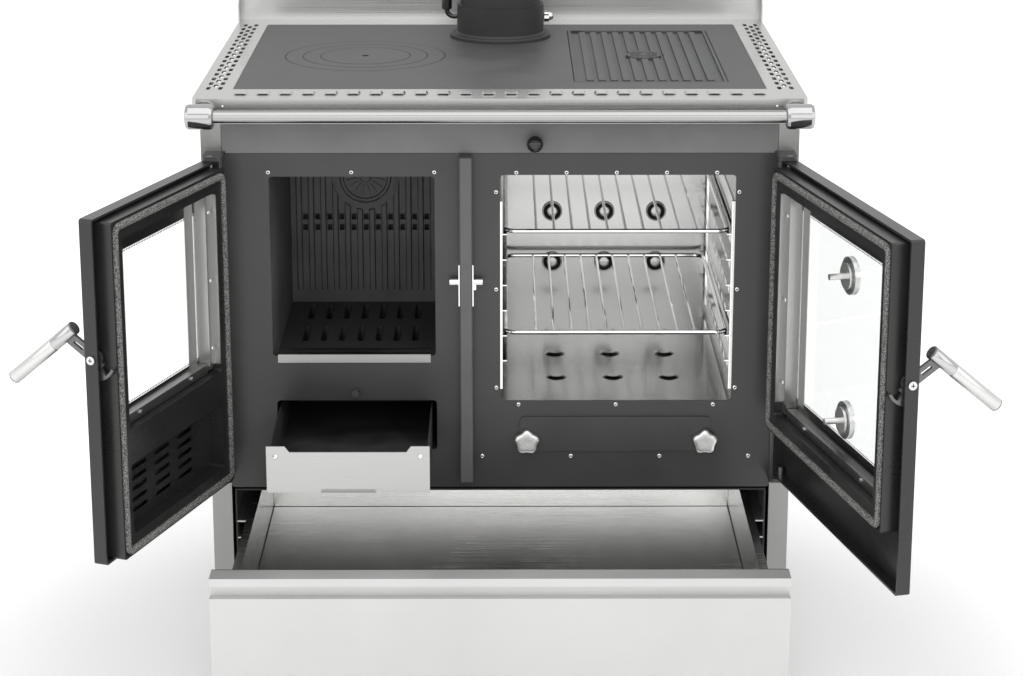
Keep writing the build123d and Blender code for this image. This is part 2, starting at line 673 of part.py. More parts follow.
def top_frame():
    """Stainless frame round the cooking plate, with its apron, ledge, vents and louvres."""
    z1 = STOVE_HEIGHT
    frame = panel_z(-HALF_WIDTH, HALF_WIDTH, TOP_Y0, TOP_Y1, TOP_UNDER, z1, 6)
    frame -= panel_z(-HALF_WIDTH + SHEET, HALF_WIDTH - SHEET, TOP_Y0 + SHEET, TOP_Y1 - SHEET,
                     TOP_UNDER - 1, z1 - SHEET, 4)
    well = SHEET
    frame += panel_z(-PLATE_HALF - well, PLATE_HALF + well, PLATE_Y0 - well, PLATE_Y1 + well,
                     PLATE_UNDER - SHEET, z1, 5)
    frame -= panel_z(-PLATE_HALF, PLATE_HALF, PLATE_Y0, PLATE_Y1, PLATE_UNDER, z1 + 1, 4)
    ledge = LEDGE_WIDTH
    frame -= panel_z(-PLATE_HALF + ledge, PLATE_HALF - ledge, PLATE_Y0 + ledge, PLATE_Y1 - ledge,
                     PLATE_UNDER - 2 * SHEET, z1, 4)
    y0 = TOP_Y0 + LOUVRE_AHEAD
    half = LOUVRE_WIDTH / 2
    places = row(LOUVRE_COUNT, LOUVRE_PITCH)
    windows = [block(x - half, x + half, y0, y0 + LOUVRE_DEPTH, z1 - 2 * SHEET, z1 + SHEET) for x in places]
    frame -= windows + vent_slots()
    return frame + [bridge_louvre(x) for x in places]


def backsplash():
    """Upright sheet at the back of the top, with side returns and a folded top edge."""
    z0 = STOVE_HEIGHT
    z1 = z0 + BACKSPLASH_HEIGHT
    sheet = block(-HALF_WIDTH, HALF_WIDTH, TOP_Y1 - SHEET, TOP_Y1, z0, z1)
    hem_y = TOP_Y1 - BACKSPLASH_HEM
    hem = block(-HALF_WIDTH, HALF_WIDTH, hem_y, TOP_Y1, z1 - SHEET, z1)
    y0 = TOP_Y1 - BACKSPLASH_RETURN
    slope = [(TOP_Y1, z0), (TOP_Y1, z1), (hem_y, z1), (y0, z0 + BACKSPLASH_RETURN), (y0, z0)]
    end = profile_x(slope, HALF_WIDTH - SHEET, HALF_WIDTH)
    return fused([sheet, hem, end, mirrored(end)])


def hand_rail():
    """Bright tube in front of the apron."""
    reach = BRACKET_INNER_X + BRACKET_LENGTH / 2
    return rod_x(TOP_Y0 - RAIL_AHEAD, RAIL_HEIGHT, -reach, reach, RAIL_RADIUS)


def rail_bracket():
    """Right rail end: a rounded barrel on a stem from the apron, bored for the rail."""
    x0 = BRACKET_INNER_X
    x1 = x0 + BRACKET_LENGTH
    y = TOP_Y0 - RAIL_AHEAD
    r = BRACKET_RADIUS
    round_by, step = BRACKET_ROUND, 0.3 * BRACKET_ROUND
    points = [
        (x0, 0), (x0, r - round_by), (x0 + step, r - step), (x0 + round_by, r),
        (x1 - round_by, r), (x1 - step, r - step), (x1, r - round_by), (x1, 0),
    ]
    barrel = Pos(0, y, RAIL_HEIGHT) * revolve(make_face(Polyline(*points, close=True)), Axis.X)
    stem_x = (x0 + HALF_WIDTH) / 2
    stem = rod_y(stem_x, RAIL_HEIGHT, y, TOP_Y0, BRACKET_STEM_RADIUS)
    foot = rod_y(stem_x, RAIL_HEIGHT, TOP_Y0 - BRACKET_FOOT_DEPTH, TOP_Y0, BRACKET_FOOT_RADIUS)
    reach = BRACKET_INNER_X + BRACKET_LENGTH / 2
    return fused([barrel, stem, foot]) - rod_x(y, RAIL_HEIGHT, x0 - 1, reach, RAIL_RADIUS)


# ------------------------------------------------------------------ cooking plate
def cooking_plate():
    """Cast plate with the stepped ring seat, the griddle recess and the flue's hole and seat."""
    half = PLATE_HALF - PLATE_GAP
    y0 = PLATE_Y0 + PLATE_GAP
    y1 = PLATE_Y1 - PLATE_GAP
    plate = panel_z(-half, half, y0, y1, PLATE_UNDER, STOVE_HEIGHT, 4)
    step = PLATE_UNDER + PLATE_THICKNESS / 2
    plate -= rod_z(RING_X, RING_Y, step, STOVE_HEIGHT + 1, RING_RADII[0])
    plate -= rod_z(RING_X, RING_Y, PLATE_UNDER - 1, step + 1, RING_RADII[0] - RING_LEDGE)
    plate -= rod_z(0, FLUE_Y, PLATE_UNDER - 1, STOVE_HEIGHT + 1, COLLAR_RADIUS - COLLAR_WALL)
    plate -= rod_z(0, FLUE_Y, STOVE_HEIGHT - FLANGE_SEAT, STOVE_HEIGHT + 1, FLANGE_RADIUS + PLATE_GAP)
    half_w = GRIDDLE_WIDTH / 2
    half_l = GRIDDLE_LENGTH / 2
    return plate - panel_z(GRIDDLE_X - half_w, GRIDDLE_X + half_w, GRIDDLE_Y - half_l, GRIDDLE_Y + half_l,
                           STOVE_HEIGHT - GRIDDLE_THICKNESS, STOVE_HEIGHT + 1, 5)


def cooking_ring(outer, inner):
    """Ring that hangs on the ledge outside it and carries the next one on its own ledge."""
    step = PLATE_UNDER + PLATE_THICKNESS / 2
    ring = rod_z(RING_X, RING_Y, step, STOVE_HEIGHT, outer - RING_GAP)
    ring += rod_z(RING_X, RING_Y, PLATE_UNDER, step, outer - RING_LEDGE - RING_GAP)
    if inner:
        ring -= rod_z(RING_X, RING_Y, step, STOVE_HEIGHT + 1, inner)
        return ring - rod_z(RING_X, RING_Y, PLATE_UNDER - 1, step + 1, inner - RING_LEDGE)
    return ring - rod_z(RING_X, RING_Y, step - 2, STOVE_HEIGHT + 1, LIFT_HOLE_RADIUS)


def griddle_insert():
    """Ribbed insert with a plain boss in the middle and thumb notches at the back."""
    half_w = GRIDDLE_WIDTH / 2 - GRIDDLE_GAP
    half_l = GRIDDLE_LENGTH / 2 - GRIDDLE_GAP
    x0, x1 = GRIDDLE_X - half_w, GRIDDLE_X + half_w
    y0, y1 = GRIDDLE_Y - half_l, GRIDDLE_Y + half_l
    z0 = STOVE_HEIGHT - GRIDDLE_THICKNESS
    z1 = STOVE_HEIGHT - GRIDDLE_RIB_RISE
    plate = panel_z(x0, x1, y0, y1, z0, STOVE_HEIGHT, 4)
    rim = GRIDDLE_RIM
    plate -= panel_z(x0 + rim, x1 - rim, y0 + rim, y1 - rim, z1, STOVE_HEIGHT + 1, 3)
    end = GRIDDLE_RIB_END
    for x in row(GRIDDLE_RIBS, GRIDDLE_RIB_PITCH, GRIDDLE_X):
        rib = clipped(x, GRIDDLE_Y, GRIDDLE_RIB_WIDTH, y1 - y0 - 2 * end)
        plate += profile_z(rib, z1 - 0.5, STOVE_HEIGHT)
    plate -= rod_z(GRIDDLE_X, GRIDDLE_Y, z1, STOVE_HEIGHT + 1, GRIDDLE_BOSS_RADIUS + 4)
    plate += rod_z(GRIDDLE_X, GRIDDLE_Y, z1 - 0.5, STOVE_HEIGHT, GRIDDLE_BOSS_RADIUS)
    for x in (x0 + GRIDDLE_NOTCH_INSET, x1 - GRIDDLE_NOTCH_INSET):
        plate -= rod_z(x, y1, z0 - 1, STOVE_HEIGHT + 1, GRIDDLE_NOTCH_RADIUS)
    return plate


# ------------------------------------------------------------------ flue
def flue_collar():
    """Cast spigot with its flange in the plate's seat, bored for the damper shaft."""
    z0 = STOVE_HEIGHT - FLANGE_SEAT
    z1 = STOVE_HEIGHT + COLLAR_HEIGHT
    inner = COLLAR_RADIUS - COLLAR_WALL
    flange_top = STOVE_HEIGHT + FLANGE_THICKNESS
    points = [
        (inner, z0), (FLANGE_RADIUS, z0), (FLANGE_RADIUS, flange_top - 2), (FLANGE_RADIUS - 2, flange_top),
        (COLLAR_RADIUS + 2, flange_top), (COLLAR_RADIUS, flange_top + 3), (COLLAR_RADIUS, z1), (inner, z1),
    ]
    wall = revolve(Plane.XZ * make_face(Polyline(*points, close=True)), Axis.Z)
    hole = DAMPER_SHAFT_RADIUS + RUNNING_GAP
    return Pos(0, FLUE_Y, 0) * wall - rod_x(FLUE_Y, DAMPER_Z, -2 * COLLAR_RADIUS, 2 * COLLAR_RADIUS, hole)


def flue_pipe():
    """Short pipe in the collar, with the bead that stops it on the collar's rim."""
    rim = STOVE_HEIGHT + COLLAR_HEIGHT
    pipe = rod_z(0, FLUE_Y, rim - PIPE_SOCKET, rim + PIPE_HEIGHT, PIPE_RADIUS)
    bead = rod_z(0, FLUE_Y, rim, rim + 4, COLLAR_RADIUS - 1)
    inner = PIPE_RADIUS - PIPE_WALL
    return pipe + bead - rod_z(0, FLUE_Y, rim - 2 * PIPE_SOCKET, rim + 2 * PIPE_HEIGHT, inner)


def damper_lever():
    """Bent rod that turns the damper blade, with a grip at one end and a nut at the other."""
    grip_base = DAMPER_Z + DAMPER_GRIP_START
    right = COLLAR_RADIUS + 14
    path = FilletPolyline((right, FLUE_Y, DAMPER_Z), (-DAMPER_ARM_X, FLUE_Y, DAMPER_Z),
                          (-DAMPER_ARM_X, FLUE_Y, grip_base + 2), radius=DAMPER_BEND - 2)
    section = Plane(origin=(right, FLUE_Y, DAMPER_Z), z_dir=(-1, 0, 0)) * Circle(DAMPER_SHAFT_RADIUS)
    lever = sweep(section, path=path)
    z1 = grip_base + DAMPER_GRIP_LENGTH
    r = DAMPER_GRIP_RADIUS
    points = [(0, grip_base), (r - 1, grip_base), (r, grip_base + 1), (r, z1 - 4), (r - 3, z1), (0, z1)]
    grip = revolve(Plane.XZ * make_face(Polyline(*points, close=True)), Axis.Z)
    lever += Pos(-DAMPER_ARM_X, FLUE_Y, 0) * grip
    nut_x0 = COLLAR_RADIUS + 0.5
    plane = Plane(origin=(nut_x0, FLUE_Y, DAMPER_Z), z_dir=(1, 0, 0))
    return lever + extrude(plane * RegularPolygon(2.2 * DAMPER_SHAFT_RADIUS, 6), 7)


def damper_blade():
    """Round blade on the shaft."""
    half = DAMPER_BLADE_THICKNESS / 2
    blade = rod_y(0, DAMPER_Z, FLUE_Y - half, FLUE_Y + half, DAMPER_BLADE_RADIUS)
    hub = rod_x(FLUE_Y, DAMPER_Z, -30, 30, DAMPER_SHAFT_RADIUS + 2)
    return blade + hub - rod_x(FLUE_Y, DAMPER_Z, -COLLAR_RADIUS, COLLAR_RADIUS, DAMPER_SHAFT_RADIUS)


# ------------------------------------------------------------------ firebox
def firebox_shell():
    """Welded box behind the firebox opening; its roof is open towards the cooking plate."""
    x0, x1, z0, z1 = FIREBOX_OPENING
    out = LINING_THICKNESS + SHELL_WALL
    shell = tray(x0 - out, x1 + out, FRAME_BACK, BACK_PLATE_Y + out, ASH_OPENING[3] + 6,
                 PLATE_UNDER - SHEET, SHELL_WALL, ("front", "low", "high"))
    lintel = block(x0 - out + SHELL_WALL, x1 + out - SHELL_WALL, FRAME_BACK, FRAME_BACK + SHELL_WALL,
                   z1, PLATE_UNDER - LINTEL_DROP)
    return fused([shell, lintel] + grate_rails())


def grate_rails():
    """Stepped rails along the shell's walls that carry the bed and the shaking grate."""
    x0, x1, _, _ = FIREBOX_OPENING
    y0, y1 = FRAME_BACK, BACK_PLATE_Y + LINING_THICKNESS
    z1 = GRATE_BOTTOM - SHAKER_THICKNESS - 2 * SHAKER_GAP
    rails = []
    for wall, inwards in ((x0 - LINING_THICKNESS, 1), (x1 + LINING_THICKNESS, -1)):
        for reach, low, high in ((RAIL_REACH, z1 - RAIL_THICKNESS, z1), (RAIL_STEP, z1, GRATE_BOTTOM)):
            ends = sorted((wall, wall + inwards * reach))
            rails.append(block(ends[0], ends[1], y0, y1, low, high))
    return rails


def firebox_side_plates():
    """Cast linings left and right of the fire."""
    x0, x1, _, z1 = FIREBOX_OPENING
    left = block(x0 - LINING_THICKNESS, x0, FRAME_BACK + SHELL_WALL, BACK_PLATE_Y, GRATE_TOP, z1 - 2)
    right = block(x1, x1 + LINING_THICKNESS, FRAME_BACK + SHELL_WALL, BACK_PLATE_Y, GRATE_TOP, z1 - 2)
    return grouped([left, right])


def firebox_back_plate():
    """Ribbed cast back plate with two rows of air holes and a plain round medallion."""
    x0, x1, _, z1 = FIREBOX_OPENING
    middle = (x0 + x1) / 2
    lap = LINING_THICKNESS
    y0 = BACK_PLATE_Y
    z_top = z1 - 2
    plate = block(x0 - lap, x1 + lap, y0, y0 + LINING_THICKNESS, GRATE_TOP, z_top)
    front = y0 - RIB_RISE
    for x in row(12, RIB_PITCH, middle):
        half = RIB_WIDTH / 2
        outline = [(x - half, y0), (x - half + 1.5, front), (x + half - 1.5, front), (x + half, y0)]
        plate += profile_z(outline, GRATE_TOP + 19, z_top - 14)
    depth = LINING_THICKNESS + 2 * RIB_RISE
    plate -= rod_y(middle, MEDALLION_Z, front - 1, y0, MEDALLION_RADIUS)
    plate += rod_y(middle, MEDALLION_Z, front, y0, MEDALLION_RADIUS - 4)
    plate -= rod_y(middle, MEDALLION_Z, front - 1, y0 - 1, MEDALLION_INNER)
    half_w = BACK_HOLE_WIDTH / 2
    half_h = BACK_HOLE_HEIGHT / 2
    for z in (FIREBOX_OPENING[3] - drop for drop in BACK_HOLE_DROPS):
        for x in row(11, RIB_PITCH, middle):
            plate -= block(x - half_w, x + half_w, y0 - RIB_RISE - 1, y0 + depth, z - half_h, z + half_h)
    return plate


def grate_slots(middle_y, x_middle):
    """Slot cutters of the fire grate: two rows across its width."""
    return [
        profile_z(clipped(x, y, GRATE_SLOT_WIDTH, GRATE_SLOT_LENGTH), GRATE_BOTTOM - 30, GRATE_TOP + 10)
        for x in row(7, GRATE_SLOT_PITCH, x_middle)
        for y in row(2, GRATE_ROW_PITCH, middle_y)
    ]


def grate_bed():
    """Cast floor of the firebox with the grate's slots, resting on a ledge of the shell."""
    x0, x1, _, _ = FIREBOX_OPENING
    lap = LINING_THICKNESS
    y0, y1 = FRAME_BACK + SHELL_WALL, BACK_PLATE_Y + LINING_THICKNESS
    bed = block(x0 - lap, x1 + lap, y0, y1, GRATE_BOTTOM, GRATE_TOP)
    return bed - grate_slots(FRONT_Y + GRATE_MIDDLE, (x0 + x1) / 2)


def fire_grate():
    """Shaking grate under the bed, with the rod and knob that move it."""
    x0, x1, _, _ = FIREBOX_OPENING
    middle_y = FRONT_Y + GRATE_MIDDLE
    z1 = GRATE_BOTTOM - SHAKER_GAP
    side = RAIL_STEP - LINING_THICKNESS + 4
    reach = SHAKER_LENGTH / 2
    front = middle_y - reach
    plate = block(x0 + side, x1 - side, front, middle_y + reach, z1 - SHAKER_THICKNESS, z1)
    plate -= grate_slots(middle_y, (x0 + x1) / 2)
    tab = block(GRATE_KNOB_X - 6, GRATE_KNOB_X + 6, front, front + 8, GRATE_KNOB_Z - 6, z1)
    rod = rod_y(GRATE_KNOB_X, GRATE_KNOB_Z, FRONT_Y - 10, front + 4, GRATE_ROD_RADIUS)
    knob = rod_y(GRATE_KNOB_X, GRATE_KNOB_Z, FRONT_Y - 12, FRONT_Y - 1.5, GRATE_KNOB_RADIUS)
    return fused([plate, tab, rod, knob])


def log_guard():
    """Tilted bright strip that keeps the logs behind the sill."""
    x0, x1, sill, _ = FIREBOX_OPENING
    y0 = FRONT_Y - GUARD_SHEET
    low = sill - GUARD_FLANGE
    bend = sill + 1
    top = bend + GUARD_RISE
    outline = [
        (y0, low), (FRONT_Y, low), (FRONT_Y, bend), (FRONT_Y + GUARD_TILT, top - GUARD_SHEET),
        (FRONT_Y + GUARD_TILT, top), (y0, bend + GUARD_SHEET),
    ]
    return profile_x(outline, x0 + GUARD_END, x1 - GUARD_END)


def ash_liner():
    """Sheet housing of the ash drawer, open to the grate."""
    x0, x1, z0, z1 = ASH_OPENING
    wall = SHEET
    y1 = FRAME_BACK + ASH_DRAWER_LENGTH + 30
    liner = tray(x0 - wall, x1 + wall, FRAME_BACK, y1, z0 - wall, z1 + 6, wall, ("front", "high"))
    skids = [
        block(x, x + SKID_WIDTH, FRAME_BACK, y1 - wall, z0, ASH_DRAWER_BASE - SEAT_GAP)
        for x in (x0 + SKID_WIDTH, x1 - 2 * SKID_WIDTH)
    ]
    return fused([liner] + skids)


# ------------------------------------------------------------------ ash drawer
def ash_drawer_y0():
    """Front face of the ash drawer as photographed."""
    return FRONT_Y + ASH_DRAWER_INSET - ASH_DRAWER_TRAVEL


def ash_drawer_box():
    """Folded pan that collects the ash."""
    middle = (ASH_OPENING[0] + ASH_OPENING[1]) / 2 - 2
    half = ASH_DRAWER_WIDTH / 2 - 2
    y0 = ash_drawer_y0() + SHEET
    return tray(middle - half, middle + half, y0, y0 + ASH_DRAWER_LENGTH, ASH_DRAWER_BASE,
                ASH_DRAWER_TOP, 1.5, ("high",))


def ash_drawer_front():
    """Bright front with a raised ear at each end and a pull lip under it."""
    middle = (ASH_OPENING[0] + ASH_OPENING[1]) / 2 - 2
    x0 = middle - ASH_DRAWER_WIDTH / 2
    x1 = middle + ASH_DRAWER_WIDTH / 2
    y0 = ash_drawer_y0()
    top = ASH_DRAWER_TOP
    low = ASH_DRAWER_BASE
    plane = Plane(origin=(0, y0 + SHEET, 0), x_dir=(1, 0, 0), z_dir=(0, -1, 0))
    points = [
        (x0, low), (x1, low), (x1, top + EAR_RISE), (x1 - EAR_WIDTH, top + EAR_RISE),
        (x1 - EAR_WIDTH - 6, top), (x0 + EAR_WIDTH + 6, top), (x0 + EAR_WIDTH, top + EAR_RISE),
        (x0, top + EAR_RISE),
    ]
    front = extrude(plane * make_face(Polyline(*points, close=True)), SHEET)
    lip_half = LIP_WIDTH / 2
    return front + block(middle - lip_half, middle + lip_half, y0 - LIP_REACH, y0, low, low + SHEET)


# ------------------------------------------------------------------ oven
def oven_box():
    """Bright oven liner with raised vents in its floor and caps on its back wall."""
    x0, x1, z0, z1 = OVEN_OPENING
    wall = OVEN_WALL
    y1 = FRAME_BACK + OVEN_DEPTH
    box = tray(x0 - wall, x1 + wall, FRAME_BACK, y1, z0 - wall, z1 + wall, wall, ("front",))
    for x in DIMPLE_X:
        for depth in DIMPLE_DEPTHS:
            y = FRONT_Y + depth
            foot = Pos(x, y, z0) * RegularPolygon(DIMPLE_RADIUS, DIMPLE_SIDES)
            crown = Pos(x, y, z0 + DIMPLE_RISE) * RegularPolygon(DIMPLE_CROWN, DIMPLE_SIDES)
            box += loft([foot, crown], ruled=True)
        for z in (z0 + rise for rise in BACK_CAP_RISES):
            back = y1 - wall
            cap = rod_y(x, z, back - DIMPLE_RISE, back, DIMPLE_RADIUS)
            box += cap - rod_y(x, z, back - DIMPLE_RISE - 1, back, DIMPLE_RADIUS / 2)
    return box


def rack_guide():
    """Left guide: a pressed ladder with one ledge for each rack height."""
    x0, _, z0, z1 = OVEN_OPENING
    y0 = FRAME_BACK + 12
    y1 = y0 + RACK_DEPTH + 6
    low, high = z0 + 12, z1 - 40
    plate = block(x0, x0 + 1.5, y0, y1, low, high)
    step = (RACK_HEIGHTS[1] - RACK_HEIGHTS[0]) / 4
    levels = [RACK_HEIGHTS[0] + step * i for i in range(-1, 5)]
    slots = [
        block(x0 - 1, x0 + 3, y - 18, y + 18, z - step / 2 - 6, z - step / 2 + 6)
        for z in levels
        for y in row(8, 48, (y0 + y1) / 2)
    ]
    plate -= slots
    for z in levels:
        rest = z - RACK_FRAME_RADIUS - SEAT_GAP
        plate += block(x0, x0 + GUIDE_LEDGE, y0 + 2, y1, rest - 1.5, rest)
    for y in (y0, y1 - GUIDE_POST):
        plate += block(x0, x0 + 3, y, y + GUIDE_POST, low, high)
    return plate


def rack_guides():
    """The two guides of the oven."""
    left = rack_guide()
    middle = (OVEN_OPENING[0] + OVEN_OPENING[1]) / 2
    return grouped([left, mirror(left, about=Plane.YZ.offset(middle))])


def oven_rack(z):
    """Wire rack: one bent frame wire with thinner wires from front to back."""
    x0 = OVEN_OPENING[0] + RACK_SIDE_GAP + RACK_FRAME_RADIUS
    x1 = OVEN_OPENING[1] - RACK_SIDE_GAP - RACK_FRAME_RADIUS
    y0 = FRAME_BACK + 14
    y1 = y0 + RACK_DEPTH
    r = RACK_FRAME_RADIUS
    outline = Pos((x0 + x1) / 2, (y0 + y1) / 2, z) * RectangleRounded(x1 - x0, y1 - y0 - 2 * r, RACK_CORNER)
    frame_wire = outline.wire()
    ring = Plane(origin=frame_wire @ 0, z_dir=frame_wire % 0) * RegularPolygon(r, RACK_FRAME_SIDES)
    rack = sweep(ring, path=frame_wire)
    for x in row(RACK_WIRE_COUNT, RACK_WIRE_PITCH, (x0 + x1) / 2):
        plane = Plane(origin=(x, y0 + r, z), z_dir=(0, 1, 0))
        section = plane * RegularPolygon(RACK_WIRE_RADIUS, RACK_WIRE_SIDES)
        rack += extrude(section, y1 - y0 - 2 * r)
    return rack


# ------------------------------------------------------------------ air control
def air_control():
    """Knob, rod and the valve plate behind the control panel."""
    y0 = FRONT_Y - AIR_KNOB_STANDOFF
    ball = Pos(AIR_KNOB_X, y0 - AIR_KNOB_RADIUS * 0.6, AIR_KNOB_Z) * Sphere(AIR_KNOB_RADIUS)
    back = FRAME_BACK + AIR_ROD_REACH
    rod = rod_y(AIR_KNOB_X, AIR_KNOB_Z, y0 - AIR_KNOB_RADIUS * 0.6, back, AIR_ROD_RADIUS)
    width, depth, height = AIR_VALVE
    low = AIR_KNOB_Z - AIR_VALVE_BELOW
    valve = block(AIR_KNOB_X - width / 2, AIR_KNOB_X + width / 2, back - depth, back, low, low + height)
    return fused([ball, rod, valve])


# ------------------------------------------------------------------ doors
def closed_door(side):
    """Corner values of a closed door: hinge side, free end, and the box inside the pan."""
    free = MULLION_X + side * DOOR_GAP / 2
    hinge = side * HINGE_X
    return {
        "side": side,
        "free": free,
        "hinge": hinge,
        "pan": sorted((free, hinge + side * PAN_EDGE)),
        "box": sorted((free + side * BOX_SETBACK, hinge - side * BOX_HINGE_SETBACK)),
    }


def door_pan(door, windows):
    """Outer pan: a front sheet with windows, flanges folded back, and a slot for the handle."""
    x0, x1 = door["pan"]
    pan = panel_y(x0, x1, DOOR_BOTTOM, DOOR_TOP, TOP_Y0, PAN_INNER_Y, 4)
    t = PAN_SHEET
    pan -= panel_y(x0 + t, x1 - t, DOOR_BOTTOM + t, DOOR_TOP - t, TOP_Y0 + t, PAN_INNER_Y + 1, 2)
    for wx0, wx1, wz0, wz1 in windows:
        pan -= panel_y(wx0, wx1, wz0, wz1, TOP_Y0 - 1, TOP_Y0 + t + 1, 5)
    middle = handle_x(door)
    half = HANDLE_PLATE / 2 + 1.2
    pan -= block(middle - half, middle + half, TOP_Y0 - 1, TOP_Y0 + t + 1, HANDLE_Z - 17, HANDLE_Z + 21)
    pivot = sorted((door["free"] - door["side"], door["free"] + door["side"] * (t + 1)))
    pan -= rod_x(HINGE_Y, HANDLE_Z, pivot[0], pivot[1], PIVOT_RADIUS)
    for z in (DOOR_BOTTOM, DOOR_TOP):
        pan -= rod_z(door["hinge"], HINGE_Y, z - t - 1, z + t + 1, HINGE_PIN_RADIUS)
    return pan


def door_box(door, z0, z1, openings):
    """Inner frame with its gasket groove."""
    x0, x1 = door["box"]
    y0 = TOP_Y0 + PAN_SHEET + GLASS_THICKNESS
    box = panel_y(x0, x1, z0, z1, y0, BOX_INNER_Y, 4)
    for wx0, wx1, wz0, wz1 in openings:
        box -= panel_y(wx0, wx1, wz0, wz1, y0 - 1, BOX_INNER_Y + 1, BOX_CORNER)
    return box - gasket_ring(door, z0, z1, 0)


def gasket_ring(door, z0, z1, inset):
    """Closed band along the box's rim."""
    x0, x1 = door["box"]
    g = GASKET_INSET + inset
    w = g + GASKET_WIDTH - 2 * inset
    y1 = FRONT_Y - GASKET_TO_FRAME
    y0 = y1 - GASKET_DEPTH
    ring = panel_y(x0 + g, x1 - g, z0 + g, z1 - g, y0, y1, 9 - inset)
    return ring - panel_y(x0 + w, x1 - w, z0 + w, z1 - w, y0 - 1, y1 + 1, 3 + inset)


def door_glass(door, window, holes):
    """Pane behind the pan's window."""
    x0, x1, z0, z1 = window
    lap = GLASS_LAP
    y0 = TOP_Y0 + PAN_SHEET
    pane = panel_y(x0 - lap, x1 + lap, z0 - lap, z1 + lap, y0, y0 + GLASS_THICKNESS, 4)
    for x, z, radius in holes:
        pane -= rod_y(x, z, y0 - 1, y0 + GLASS_THICKNESS + 1, radius)
    return pane


def handle_x(door):
    """Middle plane of the handle's hook plate in the set-back of the box."""
    return door["free"] + door["side"] * (PAN_SHEET + (BOX_SETBACK - PAN_SHEET) / 2)


def door_fittings(door, clamps):
    """Hinge pins, the handle's pivot screw, and the bright clamp strips with their screws."""
    pieces = []
    reach = LUG_CLEAR + LUG_THICKNESS
    for z0, z1 in ((DOOR_BOTTOM - reach, DOOR_BOTTOM + 14), (DOOR_TOP - 14, DOOR_TOP + reach)):
        pieces.append(rod_z(door["hinge"], HINGE_Y, z0, z1, HINGE_PIN_RADIUS))
    free, side = door["free"], door["side"]
    shank = sorted((free, free + side * BOX_SETBACK))
    head = sorted((free - side * 2.5, free))
    screw = rod_x(HINGE_Y, HANDLE_Z, shank[0], shank[1], PIVOT_RADIUS)
    pieces.append(screw + rod_x(HINGE_Y, HANDLE_Z, head[0], head[1], PIVOT_RADIUS + 2.5))
    y1 = BOX_INNER_Y - CLAMP_SETBACK
    for x0, x1, z0, z1, screws in clamps:
        strip = block(x0, x1, TOP_Y0 + PAN_SHEET + GLASS_THICKNESS, y1, z0, z1)
        for x, z in screws:
            strip += rod_y(x, z, y1, y1 + SCREW_HEIGHT, SCREW_RADIUS)
        pieces.append(strip)
    return grouped(pieces)


def clamp_strip(door, z0, z1):
    """Upright strip along the hinge side of a pane, with three screws."""
    edge = door["side"] * (BOX_HINGE_SETBACK + BOX_RIM)
    outer = door["hinge"] - edge
    x0, x1 = sorted((outer, outer - door["side"] * CLAMP_WIDTH))
    screws = [((x0 + x1) / 2, z) for z in row(3, (z1 - z0) * 0.39, (z0 + z1) / 2)]
    return (x0, x1, z0, z1, screws)


def clamp_bar(door, z0):
    """Level strip under a pane, with two screws."""
    strip = door["hinge"] - door["side"] * (BOX_HINGE_SETBACK + BOX_RIM + CLAMP_WIDTH + CLAMP_GAP)
    free = door["free"] + door["side"] * (BOX_SETBACK + BOX_RIM + BOX_CORNER)
    x0, x1 = sorted((strip, free))
    middle = z0 + CLAMP_BAR_HEIGHT / 2
    screws = [(x, middle) for x in row(2, (x1 - x0) * 0.6, (x0 + x1) / 2)]
    return (x0, x1, z0, z0 + CLAMP_BAR_HEIGHT, screws)


def door_handle(door):
    """Hook plate with its arm and the round grip, in the closed position."""
    x = handle_x(door)
    x0 = x - HANDLE_PLATE / 2
    plane = Plane(origin=(x0, HINGE_Y, HANDLE_Z), x_dir=(0, 1, 0), z_dir=(1, 0, 0))
    pin_y = striker_y() - HINGE_Y
    pin_z = PIN_Z - HANDLE_Z
    reach = math.hypot(pin_y, pin_z)
    pin_angle = math.degrees(math.atan2(pin_z, pin_y))
    inner = reach - PIN_RADIUS - PIN_GAP
    outer = reach + PIN_RADIUS + PIN_GAP
    lip = outer + HOOK_WALL
    start, stop = pin_angle - 52, pin_angle + 12
    wedge = Polyline((0, 0), polar(2 * lip, start), polar(2 * lip, (start + stop) / 2),
                     polar(2 * lip, stop), close=True)
    hook = Sketch() + (make_face(wedge) & Circle(lip))
    slot_start = pin_angle - 16
    slot_wedge = Polyline((0, 0), polar(2 * lip, slot_start), polar(2 * lip, slot_start + 40),
                          polar(2 * lip, slot_start + 90), close=True)
    slot = make_face(slot_wedge) & (Circle(outer) - Circle(inner))
    arm_end = polar(ARM_LENGTH, ARM_ANGLE)
    arm = Pos(arm_end[0] / 2, arm_end[1] / 2) * Rot(0, 0, ARM_ANGLE) * Rectangle(ARM_LENGTH, ARM_WIDTH)
    eye = Pos(arm_end[0] * 0.62, arm_end[1] * 0.62) * Rot(0, 0, ARM_ANGLE) * SlotOverall(16, 4)
    plate = hook - slot + Circle(HUB_RADIUS) + arm - eye - Circle(PIVOT_RADIUS + RUNNING_GAP)
    body = extrude(plane * plate, HANDLE_PLATE)
    grip_y = HINGE_Y + arm_end[0] - GRIP_RADIUS * 0.7
    grip_top = HANDLE_Z + arm_end[1] + GRIP_ABOVE
    r = GRIP_RADIUS
    low = grip_top - GRIP_LENGTH
    joint = grip_top - GRIP_LENGTH / 3
    points = [
        (0, low), (r - 1, low), (r, low + 1), (r, joint - 1), (r - 0.8, joint - 0.5), (r - 0.8, joint + 0.5),
        (r, joint + 1), (r, grip_top - 1), (r - 1, grip_top), (0, grip_top),
    ]
    grip = revolve(Plane.XZ * make_face(Polyline(*points, close=True)), Axis.Z)
    body += Pos(x, grip_y, 0) * grip
    return Pos(0, HINGE_Y, HANDLE_Z) * Rot(-HANDLE_TURN, 0, 0) * Pos(0, -HINGE_Y, -HANDLE_Z) * body


